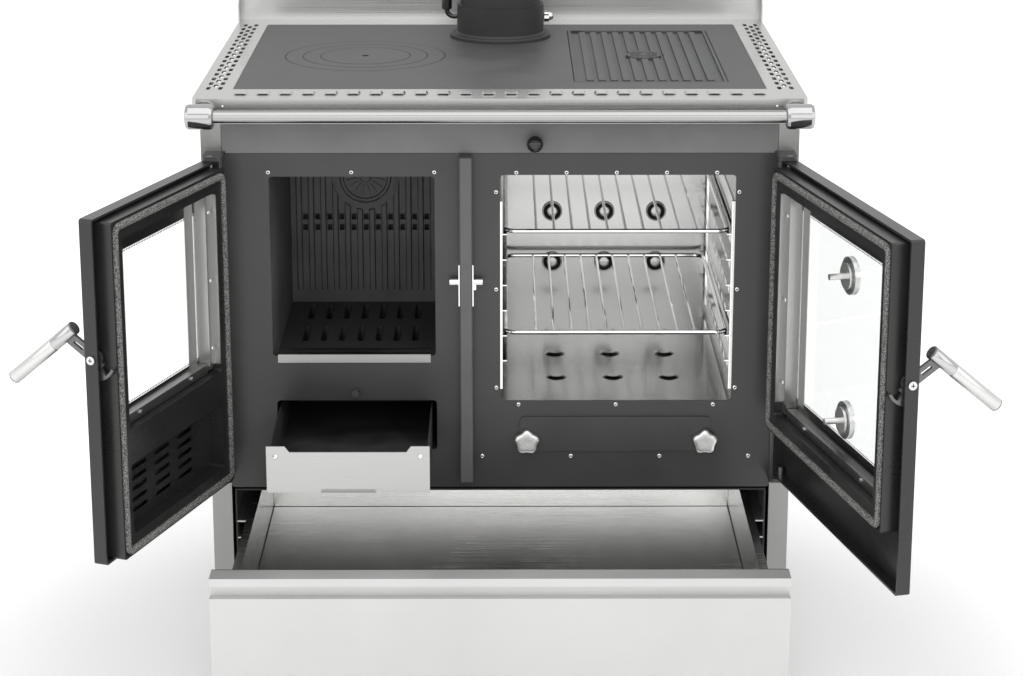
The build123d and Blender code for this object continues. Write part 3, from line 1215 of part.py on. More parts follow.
def polar(radius, degrees):
    """Point at a radius and an angle."""
    return (radius * math.cos(math.radians(degrees)), radius * math.sin(math.radians(degrees)))


def swing(shape, door, degrees):
    """Turn a door's piece about its hinge."""
    there = Pos(door["hinge"], HINGE_Y, 0)
    back = Pos(-door["hinge"], -HINGE_Y, 0)
    return there * Rot(0, 0, degrees) * back * shape


def thermometer(x, z):
    """Dial outside the glass, bezel inside it and the probe."""
    glass_y = TOP_Y0 + PAN_SHEET
    inner = glass_y + GLASS_THICKNESS
    dial = rod_y(x, z, TOP_Y0 - DIAL_PROUD, glass_y, DIAL_RADIUS)
    stem = rod_y(x, z, glass_y - 1, inner + PROBE_REACH, PROBE_RADIUS)
    bezel = rod_y(x, z, inner, inner + BEZEL_THICKNESS, BEZEL_RADIUS)
    return fused([dial, stem, bezel])


# ------------------------------------------------------------------ wood drawer
def drawer_front():
    """Folded front with a grip along its top and a groove under the grip."""
    y1 = FRONT_Y - RUNNER_GAP - DRAWER_OUT
    y0 = y1 - DRAWER_FRONT_DEPTH
    low, top = DRAWER_FRONT_BOTTOM, DRAWER_FRONT_TOP
    face = top - GRIP_FACE
    panel = face - GROOVE_HEIGHT
    groove = y0 + GROOVE_DEPTH
    t = SHEET
    outline = [
        (y1, low), (y0, low), (y0, panel), (groove, panel), (groove, face), (y0, face), (y0, top), (y1, top),
        (y1, top - t), (y0 + t, top - t), (y0 + t, face + t), (groove + t, face + t), (groove + t, panel - t),
        (y0 + t, panel - t), (y0 + t, low + t), (y1, low + t),
    ]
    half = DRAWER_FRONT_HALF
    shell = profile_x(outline, -half, half)
    solid = outline[:8]
    end = profile_x(solid, half - t, half)
    return fused([shell, end, mirrored(end)])


def drawer_box():
    """Folded box of the wood drawer with rims along its sides."""
    half = DRAWER_BOX_HALF
    y0 = FRONT_Y - RUNNER_GAP - DRAWER_OUT
    y1 = y0 + DRAWER_BOX_LENGTH
    z0 = DRAWER_FLOOR - SHEET
    box = tray(-half - SHEET, half + SHEET, y0, y1, z0, DRAWER_SIDE_TOP, SHEET, ("high",))
    rim = block(half + SHEET, half + SHEET + DRAWER_RIM, y0, y1, DRAWER_SIDE_TOP - SHEET, DRAWER_SIDE_TOP)
    front_half = DRAWER_FRONT_HALF
    plate = block(-front_half, front_half, y0, y0 + SHEET, DRAWER_FRONT_BOTTOM, DRAWER_FRONT_TOP)
    return fused([box, rim, mirrored(rim), plate])


def drawer_runners():
    """Channels on the bay's walls that carry the drawer's rims."""
    x0 = BAY_HALF_WIDTH - RUNNER_WIDTH
    z1 = DRAWER_SIDE_TOP - SHEET - RUNNER_GAP
    z0 = z1 - RUNNER_HEIGHT
    y0, y1 = FRAME_BACK, BAY_BACK - SHEET
    channel = block(x0, BAY_HALF_WIDTH, y0, y1, z0, z1)
    channel -= block(x0 + SHEET, BAY_HALF_WIDTH, y0 - 1, y1 + 1, z0 + SHEET, z1 - SHEET)
    return grouped([channel, mirrored(channel)])


def drawer_bay():
    """Sheet compartment of the wood drawer."""
    half = BAY_HALF_WIDTH + SHEET
    z0 = PLINTH_HEIGHT + SHEET
    return tray(-half, half, FRAME_BACK, BAY_BACK, z0, BAY_CEILING, SHEET, ("front",))


# ------------------------------------------------------------------ assembly
def save(shape, name):
    """Write one node."""
    export_step(shape, f"parts/{name}.step")


def save_cabinet():
    side = side_panel()
    save(side, "side_panel_right")
    save(mirrored(side), "side_panel_left")
    save(back_panel(), "back_panel")
    save(plinth(), "plinth")
    save(base_plate(), "base_plate")
    save(levelling_feet(), "levelling_feet")
    save(drawer_bay(), "drawer_bay")
    save(drawer_runners(), "drawer_runners")


def save_front():
    save(front_frame(), "front_frame")
    save(control_panel(), "control_panel")
    save(mullion(), "mullion")
    save(door_strikers(), "door_strikers")
    save(frame_screws(), "frame_screws")
    save(hinge_lugs(), "hinge_lugs")
    save(cleanout_cover(), "cleanout_cover")
    save(star_knob(STAR_X[0]), "star_knob_left")
    save(star_knob(STAR_X[1]), "star_knob_right")
    save(air_control(), "air_control")


def save_top():
    save(top_frame(), "top_frame")
    save(backsplash(), "backsplash")
    save(hand_rail(), "hand_rail")
    bracket = rail_bracket()
    save(grouped([bracket, mirrored(bracket)]), "rail_brackets")
    save(cooking_plate(), "cooking_plate")
    save(cooking_ring(RING_RADII[0], RING_RADII[1]), "ring_outer")
    save(cooking_ring(RING_RADII[1], RING_RADII[2]), "ring_middle")
    save(cooking_ring(RING_RADII[2], 0), "ring_disc")
    save(griddle_insert(), "griddle_insert")
    save(flue_collar(), "flue_collar")
    save(flue_pipe(), "flue_pipe")
    save(damper_lever(), "damper_lever")
    save(damper_blade(), "damper_blade")


def save_firebox():
    save(firebox_shell(), "firebox_shell")
    save(firebox_side_plates(), "firebox_side_plates")
    save(firebox_back_plate(), "firebox_back_plate")
    save(grate_bed(), "grate_bed")
    save(fire_grate(), "fire_grate")
    save(log_guard(), "log_guard")
    save(ash_liner(), "ash_liner")
    save(ash_drawer_box(), "ash_drawer_box")
    save(ash_drawer_front(), "ash_drawer_front")


def save_oven():
    save(oven_box(), "oven_box")
    save(rack_guides(), "rack_guides")
    for name, z in zip(("oven_rack_lower", "oven_rack_upper"), RACK_HEIGHTS):
        save(oven_rack(z), name)


def save_firebox_door():
    door = closed_door(-1)
    x0, x1 = door["box"]
    rim = BOX_RIM
    z0, z1 = FIREBOX_BOX_LOW, DOOR_BOX_TOP
    low, high = DOOR_BAR_TOP, z1 - rim
    margin = rim + WINDOW_MARGIN
    window = (x0 + margin, x1 - margin, low + CLAMP_BAR_HEIGHT - CLAMP_GAP, high - FIREBOX_WINDOW_DROP)
    upper = (x0 + rim, x1 - rim, low, high)
    lower = (x0 + rim, x1 - rim, z0 + rim, low - DOOR_BAR_HEIGHT)
    clamps = [clamp_strip(door, low + BOX_CORNER, high - BOX_CORNER), clamp_bar(door, low + 1)]
    baffle_y = TOP_Y0 + BAFFLE_SETBACK
    baffle = panel_y(*lower, baffle_y, baffle_y + BAFFLE_SHEET, BOX_CORNER)
    length, height = BAFFLE_SLOT
    slots_middle = FRAME_BOTTOM + BAFFLE_SLOTS_RISE
    for x in row(3, BAFFLE_COLUMN_PITCH, (x0 + x1) / 2 + 10):
        for z in row(5, BAFFLE_ROW_PITCH, slots_middle):
            slot = clipped(x, z, length, height)
            baffle -= profile_y(slot, baffle_y - BAFFLE_SHEET, baffle_y + 2 * BAFFLE_SHEET)
    pieces = {
        "firebox_door_pan": door_pan(door, [window]),
        "firebox_door_box": door_box(door, z0, z1, [upper, lower]),
        "firebox_door_gasket": gasket_ring(door, z0, z1, 0),
        "firebox_door_glass": door_glass(door, window, []),
        "firebox_door_fittings": door_fittings(door, clamps),
        "firebox_door_baffle": baffle,
        "firebox_door_handle": door_handle(door),
    }
    for name, shape in pieces.items():
        save(swing(shape, door, -LEFT_DOOR_ANGLE), name)


def save_oven_door():
    door = closed_door(1)
    x0, x1 = door["box"]
    rim = BOX_RIM
    z0, z1 = OVEN_BOX_LOW, DOOR_BOX_TOP
    low, high = z0 + rim, z1 - rim
    margin = rim + WINDOW_MARGIN
    window = (x0 + margin, x1 - margin, low + OVEN_WINDOW_LIFT, high - WINDOW_MARGIN)
    opening = (x0 + rim, x1 - rim, low, high)
    clamps = [clamp_strip(door, low + BOX_CORNER, high - BOX_CORNER), clamp_bar(door, low + 1)]
    middle = (x0 + x1) / 2
    holes = [(middle, z, PROBE_RADIUS) for z in DIAL_HEIGHTS]
    probes = [thermometer(middle, z) for z in DIAL_HEIGHTS]
    pieces = {
        "oven_door_pan": door_pan(door, [window]),
        "oven_door_box": door_box(door, z0, z1, [opening]),
        "oven_door_gasket": gasket_ring(door, z0, z1, 0),
        "oven_door_glass": door_glass(door, window, holes),
        "oven_door_fittings": door_fittings(door, clamps),
        "oven_thermometers": grouped(probes),
        "oven_door_handle": door_handle(door),
    }
    for name, shape in pieces.items():
        save(swing(shape, door, RIGHT_DOOR_ANGLE), name)


save_cabinet()
save_front()
save_top()
save_firebox()
save_oven()
save_firebox_door()
save_oven_door()
save(drawer_front(), "wood_drawer_front")
save(drawer_box(), "wood_drawer_box")
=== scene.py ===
"""Looks of the wood-burning cookstove: finishes, trim, small fasteners, light and camera."""

import json
import math

import bmesh
import bpy
from mathutils import Matrix, Vector

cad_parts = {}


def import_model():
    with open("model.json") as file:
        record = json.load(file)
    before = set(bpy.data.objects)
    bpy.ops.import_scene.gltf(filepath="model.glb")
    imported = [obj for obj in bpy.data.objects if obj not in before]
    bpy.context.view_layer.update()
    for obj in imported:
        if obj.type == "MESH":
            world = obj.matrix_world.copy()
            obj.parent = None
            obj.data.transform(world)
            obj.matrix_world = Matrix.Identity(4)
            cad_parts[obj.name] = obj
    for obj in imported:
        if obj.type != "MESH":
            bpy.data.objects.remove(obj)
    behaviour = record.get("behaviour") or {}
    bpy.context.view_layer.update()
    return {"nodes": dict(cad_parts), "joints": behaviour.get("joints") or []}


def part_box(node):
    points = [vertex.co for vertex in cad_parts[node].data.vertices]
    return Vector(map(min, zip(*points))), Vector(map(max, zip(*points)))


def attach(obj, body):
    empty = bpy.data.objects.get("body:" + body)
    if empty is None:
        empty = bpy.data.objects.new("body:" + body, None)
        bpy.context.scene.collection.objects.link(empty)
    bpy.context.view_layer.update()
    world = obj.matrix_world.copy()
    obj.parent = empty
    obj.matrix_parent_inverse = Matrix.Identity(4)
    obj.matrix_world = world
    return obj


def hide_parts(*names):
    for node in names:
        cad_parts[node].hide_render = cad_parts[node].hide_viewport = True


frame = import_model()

NODES = frame["nodes"]
JOINTS = {joint["name"]: joint for joint in frame["joints"]}

# ------------------------------------------------------------------ sizes, metres
# ropes of the doors
ROPE_SIDES = 14
ROPE_STEP = 0.0016
ROPE_CORNER = 0.009
ROPE_HALF_WIDTH = 0.005
KNIT_PITCH = 0.0052
KNIT_DEPTH = 0.07            # as a share of the rope's radius
KNIT_STRANDS = 4

# panes
PANE_LAP = 0.012
FRIT_WIDTH = 0.007
FRIT_TOP_WIDTH = 0.020
FRIT_LIFT = 0.00015
FRIT_DOT_PITCH = 0.0042
FRIT_DOT_RADIUS = 0.0013
FRIT_DOT_SIDES = 10
FRIT_DOT_OFFSET = 1.5        # from the border, in radii of a dot

# screws and rivets
SCREW_SIDES = 28
SOCKET_RIM = 0.46            # share of the head's radius inside which it is six-sided
SOCKET_SHADE_SHARE = 0.47          # near-black disc of painted shade in the socket, as a share of the head's radius
SOCKET_SHADE_LEVEL = 0.80          # and its place in the head's height
SOCKET_SHADE_SIDES = 6
DRAWER_SCREW_RADIUS = 0.0034
ASH_FRONT_SHEET = 0.002
ASH_SCREW_INSET = 0.012
ASH_SCREW_DROP = 0.014
ASH_SCREW_RISE = 0.0018
RIVET_RADIUS = 0.0016
RIVET_X = 0.360
RIVET_BELOW_TOP = 0.010

# wood drawer
DRAWER_INNER_HALF = 0.3390
DRAWER_RIM_DROP = 0.039      # below the top of the drawer's front
SIDE_SCREW_DROP = 0.030      # below the rim
SIDE_SCREW_SHARES = (0.30, 0.88)
BACK_SCREW_DROP = 0.012
BACK_SCREW_X = 0.290
DRAWER_SHEET = 0.002
DRAWER_DEPTH = 0.087         # rim to floor

# thermometer dials, with shares of the dial's radius
DIAL_TICKS = 25
DIAL_LONG_EVERY = 4
DIAL_SWEEP = 270.0
DIAL_NEEDLE = 205.0
LONG_TICK = (0.68, 0.022)    # where it starts, and half its width
SHORT_TICK = (0.76, 0.012)
TICK_END = 0.85
MARK_FOOT = 0.0003
MARK_TOP = 0.0005

# cooking plate and damper
# near-black bands of painted shade along gaps and creases: their width, lift and sides
SHADE_BAND_WIDTH = 0.0012
SHADE_BAND_LIFT = 0.0001
SHADE_BAND_SIDES = 144
LIFT_HOLE_RADIUS = 0.004
ROUNDEL_RADIUS = 0.0245
ROUNDEL_RISE = 0.0010
NUT_RADIUS = 0.0080
NUT_LENGTH = 0.0072
NUT_DOME = 0.0068
NUT_EDGE = 0.0006
NUT_STAND = 0.0005           # past the end of the shaft
NUT_CHAMFER = 0.94           # shares of the nut's radius
NUT_DOME_SHARE = 0.78

# fluted discs, with shares of the disc's radius
MEDALLION_BELOW_TOP = 0.075  # of the back plate
MEDALLION_RADIUS = 0.0375
MEDALLION_RELIEF = 0.0028
MEDALLION_DEPTH = 0.0130     # its place before the grate bed's back edge
FLUTE_COUNT = 16
FLUTE_HALF = 0.28            # share of a flute's sector
FLUTE_FOOT = 0.72
FLUTE_CREST = 0.60
FLUTE_RISE = 0.8             # share of the disc's rise

# strikers
STRIKER_BLOCK = (0.0034, 0.0100, 0.0105)     # narrow enough to leave the hook its room
STRIKER_PLATE = 0.0015
STRIKER_PIN_LIFT = 0.004     # of the pin above the handle's pivot
STRIKER_BEVEL = 0.0006
COLLAR_LENGTH = 0.0016
COLLAR_RADIUS = 0.0053
COLLAR_END_RADIUS = 0.0049
COLLAR_EDGE = 0.0003

# vents on the oven's back wall
OVEN_WALL = 0.002
CAP_RADIUS = 0.0150
CAP_RISE = 0.0030
CAP_PLACES = (0.078, 0.157, 0.235)
CAP_HEIGHTS = (0.589, 0.510)
CAP_LIFT = 0.0002            # off the plain ring that each vent covers
CAP_GROWTH = 0.0003

# bright strips on the doors' hinge sides
BOX_RIM = 0.026
BOX_ROOM = 0.0270
CLAMP_DEPTH = 0.0150
CLAMP_WIDTH = 0.0150
CLAMP_CLEARANCE = 0.0024
LINER_SHEET = 0.0009
LINER_TOP_GAP = 0.004
LINER_RIM_GAP = 0.001
LINER_SCREW_SHARES = (0.10, 0.50, 0.90)
GLASS_STRIP = 0.0220
GLASS_STRIP_GAP = 0.004

# grips and their pivots
GRIP_RADIUS = 0.0085
GRIP_LENGTH = 0.1150
GRIP_EDGE = 0.0010
SLEEVE_WALL = 0.00015
END_DISC = ((-0.00005, 0.70), (0.0001, 0.74))    # place along the grip, share of its radius
PIVOT_HEAD = 0.0055
CROSS_ARM = 0.52             # shares of the head's radius
CROSS_HALF = 0.12
CROSS_FOOT = 0.0029
CROSS_TOP = 0.0031

# star knobs
STAR_SIDES = 160
STAR_LOBES = 5
STAR_WAIST = 0.085
STAR_REACH = 1.05
STAR_DEPTH = 0.0125
STAR_INSET = 0.0001

# ------------------------------------------------------------------ camera, from the photo
CAMERA_PLACE = (0.006, -3.145, 1.497)
CAMERA_TILT = 14.91
CAMERA_YAW = 0.18
CAMERA_LENS = 85.2
CAMERA_SHIFT = -0.10
SENSOR_WIDTH = 36.0          # millimetres, as the lens

# ------------------------------------------------------------------ light
FLOOR_HALF = 14.0
FLOOR_TONE = 0.86
FLOOR_ROUGHNESS = 0.8
FLOOR_GLOW_IN_PAINTED_POOL = 0.18       # seen directly, on top of the light that the floor receives; lower near the object, so the grey round its base is partly painted shade and not all the object's shadow
FLOOR_GLOW_FAR = 0.62
PAINTED_POOL_INNER = 0.55            # distances from the origin, under the object, across which the glow rises; inside them the lower glow paints a pool of shade
PAINTED_POOL_OUTER = 1.25
SKY_LIGHT = 0.62
LAMPS = (                    # name, place, target, width, height, watts
    ("key", (0.0, -1.0, 3.4), (0.0, 0.1, 0.5), 4.2, 3.0, 44),
    ("front", (0.0, -4.4, 2.0), (0.0, 0.0, 0.5), 4.8, 2.6, 34),
    ("left", (-3.0, -1.8, 1.8), (0.0, 0.0, 0.5), 2.4, 2.4, 15),
    ("right", (3.0, -1.8, 1.8), (0.0, 0.0, 0.5), 2.4, 2.4, 15),
)


# ------------------------------------------------------------------ material helpers
class Shader:
    """A node material under construction."""

    def __init__(self, name, color, metallic, roughness):
        self.material = bpy.data.materials.new(name)
        self.material.use_nodes = True
        self.tree = self.material.node_tree
        self.bsdf = self.tree.nodes["Principled BSDF"]
        self.set("Base Color", (*color, 1.0))
        self.set("Metallic", metallic)
        self.set("Roughness", roughness)

    def set(self, socket, value):
        self.bsdf.inputs[socket].default_value = value

    def node(self, kind, **inputs):
        node = self.tree.nodes.new(kind)
        for socket, value in inputs.items():
            node.inputs[socket.replace("_", " ")].default_value = value
        return node

    def link(self, source, target):
        self.tree.links.new(source, target)

    def coordinates(self, scale):
        """The object's own coordinates, stretched."""
        place = self.node("ShaderNodeTexCoord")
        mapping = self.node("ShaderNodeMapping", Scale=scale)
        self.link(place.outputs["Object"], mapping.inputs["Vector"])
        return mapping.outputs["Vector"]

    def noise(self, scale, detail=4.0, roughness=0.55):
        texture = self.node("ShaderNodeTexNoise", Scale=1.0, Detail=detail, Roughness=roughness)
        self.link(self.coordinates(scale), texture.inputs["Vector"])
        return texture.outputs["Fac"]

    def cells(self, scale):
        texture = self.node("ShaderNodeTexVoronoi", Scale=1.0)
        self.link(self.coordinates(scale), texture.inputs["Vector"])
        return texture.outputs["Distance"]

    def ranged(self, source, low, high, start=0.3, stop=0.7):
        """A texture's value spread between two numbers."""
        spread = self.node("ShaderNodeMapRange")
        spread.inputs["From Min"].default_value = start
        spread.inputs["From Max"].default_value = stop
        spread.inputs["To Min"].default_value = low
        spread.inputs["To Max"].default_value = high
        self.link(source, spread.inputs["Value"])
        return spread.outputs["Result"]

    def added(self, first, second):
        total = self.node("ShaderNodeMath")
        total.operation = "ADD"
        self.link(first, total.inputs[0])
        self.link(second, total.inputs[1])
        return total.outputs["Value"]

    def tinted(self, source, dark, light, start=0.35, stop=0.65):
        """Base colour between two tones."""
        ramp = self.node("ShaderNodeValToRGB")
        ramp.color_ramp.elements[0].position = start
        ramp.color_ramp.elements[0].color = (*dark, 1.0)
        ramp.color_ramp.elements[1].position = stop
        ramp.color_ramp.elements[1].color = (*light, 1.0)
        self.link(source, ramp.inputs["Fac"])
        self.link(ramp.outputs["Color"], self.bsdf.inputs["Base Color"])

    def bumped(self, source, strength, distance):
        bump = self.node("ShaderNodeBump", Strength=strength, Distance=distance)
        self.link(source, bump.inputs["Height"])
        self.link(bump.outputs["Normal"], self.bsdf.inputs["Normal"])

    def rough(self, source):
        self.link(source, self.bsdf.inputs["Roughness"])


def shade(color, factor):
    """A colour made darker or lighter."""
    return tuple(channel_shade * factor for channel_shade in color)


# ------------------------------------------------------------------ finishes
def brushed(name, tone, roughness, along, grain=0.10):
    """Brushed sheet: fine lines along one axis, with faint handling marks."""
    color = (tone, tone, tone * 0.985)
    shader = Shader(name, color, 1.0, roughness)
    lines = [900.0, 900.0, 900.0]
    lines["xyz".index(along)] = 3.0
    fine = shader.noise(tuple(lines), detail=3.0)
    marks = shader.noise((5.0, 5.0, 5.0), detail=5.0)
    shader.tinted(fine, shade(color, 0.965), color)
    shader.rough(shader.added(shader.ranged(fine, roughness - grain / 2, roughness + grain / 2),
                              shader.ranged(marks, -0.02, 0.03)))
    shader.bumped(fine, 0.03, 0.0001)
    shader.set("Anisotropic", 0.35)
    return shader.material


def dull_sheet(name, tone):
    """Folded bright sheet with a soft, half-diffuse sheen."""
    color = (tone, tone, tone * 0.99)
    shader = Shader(name, color, 0.55, 0.42)
    grain = shader.noise((3.0, 500.0, 500.0), detail=3.0)
    clouds = shader.noise((4.0, 4.0, 4.0), detail=4.0)
    shader.tinted(clouds, shade(color, 0.93), color)
    shader.rough(shader.added(shader.ranged(grain, 0.38, 0.46), shader.ranged(clouds, -0.03, 0.04)))
    return shader.material


def satin_metal(name, tone, roughness):
    """Fine-blasted plated metal."""
    color = (tone, tone, tone * 0.99)
    shader = Shader(name, color, 0.85, roughness)
    fine = shader.noise((1100.0, 1100.0, 1100.0), detail=3.0)
    shader.tinted(fine, shade(color, 0.94), color)
    shader.rough(shader.ranged(fine, roughness - 0.04, roughness + 0.04))
    return shader.material


def cast_iron(name, tone, grit=0.35):
    """Fine sand-cast skin, blackened."""
    color = (tone, tone * 1.01, tone * 1.03)
    shader = Shader(name, color, 0.25, 0.55)
    fine = shader.noise((1500.0, 1500.0, 1500.0), detail=6.0, roughness=0.7)
    broad = shader.noise((14.0, 14.0, 14.0), detail=5.0)
    shader.tinted(broad, shade(color, 0.82), shade(color, 1.14))
    shader.rough(shader.added(shader.ranged(fine, 0.46, 0.60), shader.ranged(broad, -0.03, 0.04)))
    shader.bumped(fine, grit, 0.0004)
    return shader.material


def satin_paint(name, tone, roughness=0.36):
    """Heat-proof satin paint with a slight orange peel."""
    color = (tone, tone, tone)
    shader = Shader(name, color, 0.0, roughness)
    peel = shader.noise((620.0, 620.0, 620.0), detail=3.0)
    wear = shader.noise((9.0, 9.0, 9.0), detail=6.0)
    shader.tinted(wear, shade(color, 0.88), shade(color, 1.12))
    shader.rough(shader.added(shader.ranged(peel, roughness - 0.03, roughness + 0.03),
                              shader.ranged(wear, -0.03, 0.04)))
    shader.bumped(peel, 0.06, 0.0002)
    return shader.material


def sooty(name, tone):
    """Dark heat-proof steel with soot and ash dust."""
    color = (tone, tone, tone)
    shader = Shader(name, color, 0.0, 0.75)
    dust = shader.noise((26.0, 26.0, 18.0), detail=8.0, roughness=0.65)
    fine = shader.noise((900.0, 900.0, 900.0), detail=4.0)
    shader.tinted(dust, shade(color, 0.6), shade(color, 1.5))
    shader.rough(shader.ranged(dust, 0.62, 0.86))
    shader.bumped(fine, 0.25, 0.0003)
    return shader.material


def polished(name, tone=0.80):
    """Chrome with faint polishing haze."""
    shader = Shader(name, (tone, tone, tone), 1.0, 0.06)
    haze = shader.noise((60.0, 60.0, 60.0), detail=5.0)
    shader.rough(shader.ranged(haze, 0.045, 0.11))
    shader.tinted(haze, (tone * 0.96,) * 3, (tone,) * 3)
    return shader.material


def knitted(name):
    """Glass-fibre rope, speckled light and dark."""
    shader = Shader(name, (0.3, 0.3, 0.29), 0.0, 0.9)
    stitch = shader.cells((620.0, 620.0, 620.0))
    fuzz = shader.noise((1700.0, 1700.0, 1700.0), detail=3.0)
    shader.tinted(stitch, (0.42, 0.42, 0.40), (0.07, 0.07, 0.07), 0.18, 0.62)
    shader.rough(shader.ranged(fuzz, 0.82, 0.97))
    shader.bumped(stitch, 0.8, 0.0006)
    return shader.material


def clear_glass(name):
    """Clear ceramic pane with faint smears."""
    shader = Shader(name, (0.97, 0.98, 0.98), 0.0, 0.01)
    smear = shader.noise((11.0, 11.0, 3.0), detail=5.0)
    shader.rough(shader.ranged(smear, 0.0, 0.035))
    shader.set("Transmission Weight", 1.0)
    shader.set("IOR", 1.45)
    return shader.material


def printed_black(name):
    """Fired ceramic print on the glass."""
    shader = Shader(name, (0.012, 0.012, 0.012), 0.0, 0.35)
    fine = shader.noise((800.0, 800.0, 800.0))
    shader.rough(shader.ranged(fine, 0.28, 0.42))
    return shader.material


def glossy_black(name):
    """Moulded black grip."""
    shader = Shader(name, (0.012, 0.012, 0.012), 0.0, 0.18)
    fine = shader.noise((260.0, 260.0, 260.0))
    shader.rough(shader.ranged(fine, 0.14, 0.24))
    shader.set("Coat Weight", 0.3)
    return shader.material


FINISH = {
    "steel_x": brushed("brushed_steel_x", 0.58, 0.30, "x"),
    "top": brushed("top_steel", 0.51, 0.28, "x"),
    # painted shade: a darker copy of the brushed steel for the hand rail, lowered to hold down the bright
    # floor that it reflects
    "rail": brushed("shaded_rail_steel", 0.38, 0.16, "x", grain=0.05),
    # painted shade: a darker copy of the brushed steel for the ash drawer's front
    "ash": brushed("shaded_ash_front_steel", 0.45, 0.30, "x"),
    "guard": brushed("guard_steel", 0.34, 0.30, "x"),
    # painted light: a lighter copy of the bright sheet for the wood drawer's front
    "front": dull_sheet("lit_drawer_front_sheet", 0.66),
    "dial": satin_paint("dial_face", 0.55, 0.34),
    "steel_z": brushed("brushed_steel_z", 0.30, 0.34, "z"),
    # painted light: a lighter copy of the brushed steel for the wood drawer's inside, raised to offset the
    # shade in it
    "lit_drawer_steel": brushed("lit_drawer_steel", 0.80, 0.24, "x", grain=0.06),
    "bright": brushed("bright_steel", 0.47, 0.17, "x", grain=0.05),
    "clamp": brushed("clamp_steel", 0.42, 0.30, "z", grain=0.06),
    "galvanised": brushed("galvanised_sheet", 0.50, 0.42, "x", grain=0.14),
    "iron": cast_iron("cast_iron_top", 0.078),
    "iron_flue": cast_iron("cast_iron_flue", 0.030),
    "iron_fire": cast_iron("cast_iron_fire", 0.150, grit=0.4),
    "iron_bed": cast_iron("cast_iron_bed", 0.065, grit=0.5),
    "frame": satin_paint("black_paint", 0.046),
    "band": satin_paint("band_paint", 0.205, 0.42),
    "mullion": satin_paint("mullion_paint", 0.112, 0.38),
    "door": satin_paint("door_paint", 0.021, 0.30),
    # near-black, used as painted shade in gaps, creases, recesses and sockets, and on the grips' end discs
    "seam": satin_paint("seam_shadow", 0.006, 0.70),
    "soot": sooty("sooty_steel", 0.030),
    "chrome": polished("chrome"),
    "bracket": polished("bracket_chrome", 0.42),
    "grip_chrome": polished("grip_chrome", 0.50),
    "grip_satin": satin_metal("grip_satin", 0.67, 0.28),
    "satin": satin_metal("satin_chrome", 0.76, 0.30),
    "dark_satin": satin_metal("dark_satin_steel", 0.16, 0.34),
    "rope": knitted("knitted_rope"),
    "glass": clear_glass("clear_glass"),
    "print": printed_black("fired_print"),
    "knob": glossy_black("black_knob"),
}

NODE_FINISH = {
    "steel_z": ("side_panel_left", "side_panel_right"),
    "steel_x": ("backsplash",),
    "top": ("top_frame",),
    "rail": ("hand_rail",),
    "ash": ("ash_drawer_front",),
    "guard": ("log_guard",),
    "front": ("wood_drawer_front",),
    "lit_drawer_steel": ("wood_drawer_box",),
    "bright": ("oven_box",),
    "clamp": ("firebox_door_fittings", "oven_door_fittings"),
    "galvanised": ("back_panel", "base_plate", "drawer_runners"),
    "iron": ("cooking_plate", "ring_outer", "ring_middle", "ring_disc", "griddle_insert"),
    "iron_flue": ("flue_collar", "flue_pipe", "damper_blade"),
    "iron_fire": ("firebox_side_plates", "firebox_back_plate"),
    "iron_bed": ("grate_bed", "fire_grate"),
    "frame": ("front_frame", "hinge_lugs", "cleanout_cover", "plinth", "levelling_feet"),
    "band": ("control_panel",),
    "mullion": ("mullion",),
    "door": ("firebox_door_pan", "firebox_door_box", "firebox_door_baffle", "oven_door_pan",
             "oven_door_box"),
    "soot": ("firebox_shell", "ash_liner", "ash_drawer_box", "drawer_bay"),
    "chrome": ("door_strikers", "frame_screws", "rack_guides", "oven_rack_lower", "oven_rack_upper"),
    "bracket": ("rail_brackets",),
    "satin": ("star_knob_left", "star_knob_right", "oven_thermometers"),
    "dark_satin": ("firebox_door_handle", "oven_door_handle"),
    "rope": ("firebox_door_gasket", "oven_door_gasket"),
    "glass": ("firebox_door_glass", "oven_door_glass"),
    "knob": ("air_control", "damper_lever"),
}


def dress(piece, finish):
    """Give every slot of a piece one finish."""
    piece.data.materials.clear()
    piece.data.materials.append(FINISH[finish])


for finish, names in NODE_FINISH.items():
    for name in names:
        for slot in NODES[name].material_slots:
            slot.material = FINISH[finish]


# ------------------------------------------------------------------ mesh helpers
def piece_from(builder, name, finish, body, smooth=True):
    """A new piece from a filled bmesh, dressed and riding on its body."""
    mesh = bpy.data.meshes.new(name)
    bmesh.ops.recalc_face_normals(builder, faces=builder.faces)
    builder.to_mesh(mesh)
    builder.free()
    piece = bpy.data.objects.new(name, mesh)
    bpy.context.scene.collection.objects.link(piece)
    dress(piece, finish)
    if smooth:
        for face in mesh.polygons:
            face.use_smooth = True
    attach(piece, body)
    return piece


def islands(node, back=Matrix.Identity(4)):
    """Lowest and highest corner of each separate solid in a node, its points first moved by back."""
    builder = bmesh.new()
    builder.from_mesh(NODES[node].data)
    bmesh.ops.remove_doubles(builder, verts=builder.verts, dist=1e-6)
    seen = set()
    found = []
    for start in builder.verts:
        if start.index in seen:
            continue
        stack, group = [start], []
        seen.add(start.index)
        while stack:
            vertex = stack.pop()
            group.append(back @ vertex.co)
            for edge in vertex.link_edges:
                other = edge.other_vert(vertex)
                if other.index not in seen:
                    seen.add(other.index)
                    stack.append(other)
        found.append(corners(group))
    builder.free()
    return found


def corners(points):
    """Lowest and highest corner round some points."""
    low = Vector(min(p[i] for p in points) for i in range(3))
    high = Vector(max(p[i] for p in points) for i in range(3))
    return low, high


def opened(joint_name):
    """Matrix from the shut door's coordinates to the door as it stands."""
    joint = JOINTS[joint_name]
    shut = math.radians(joint["range_deg"][0])
    pivot = Vector(joint["pos_m"])
    turn = Matrix.Rotation(-shut, 4, Vector(joint["axis"]))
    return Matrix.Translation(pivot) @ turn @ Matrix.Translation(-pivot)


def shut_box(node, joint_name):
    """A door node's box with the door shut."""
    back = opened(joint_name).inverted()
    return corners([back @ vertex.co for vertex in NODES[node].data.vertices])


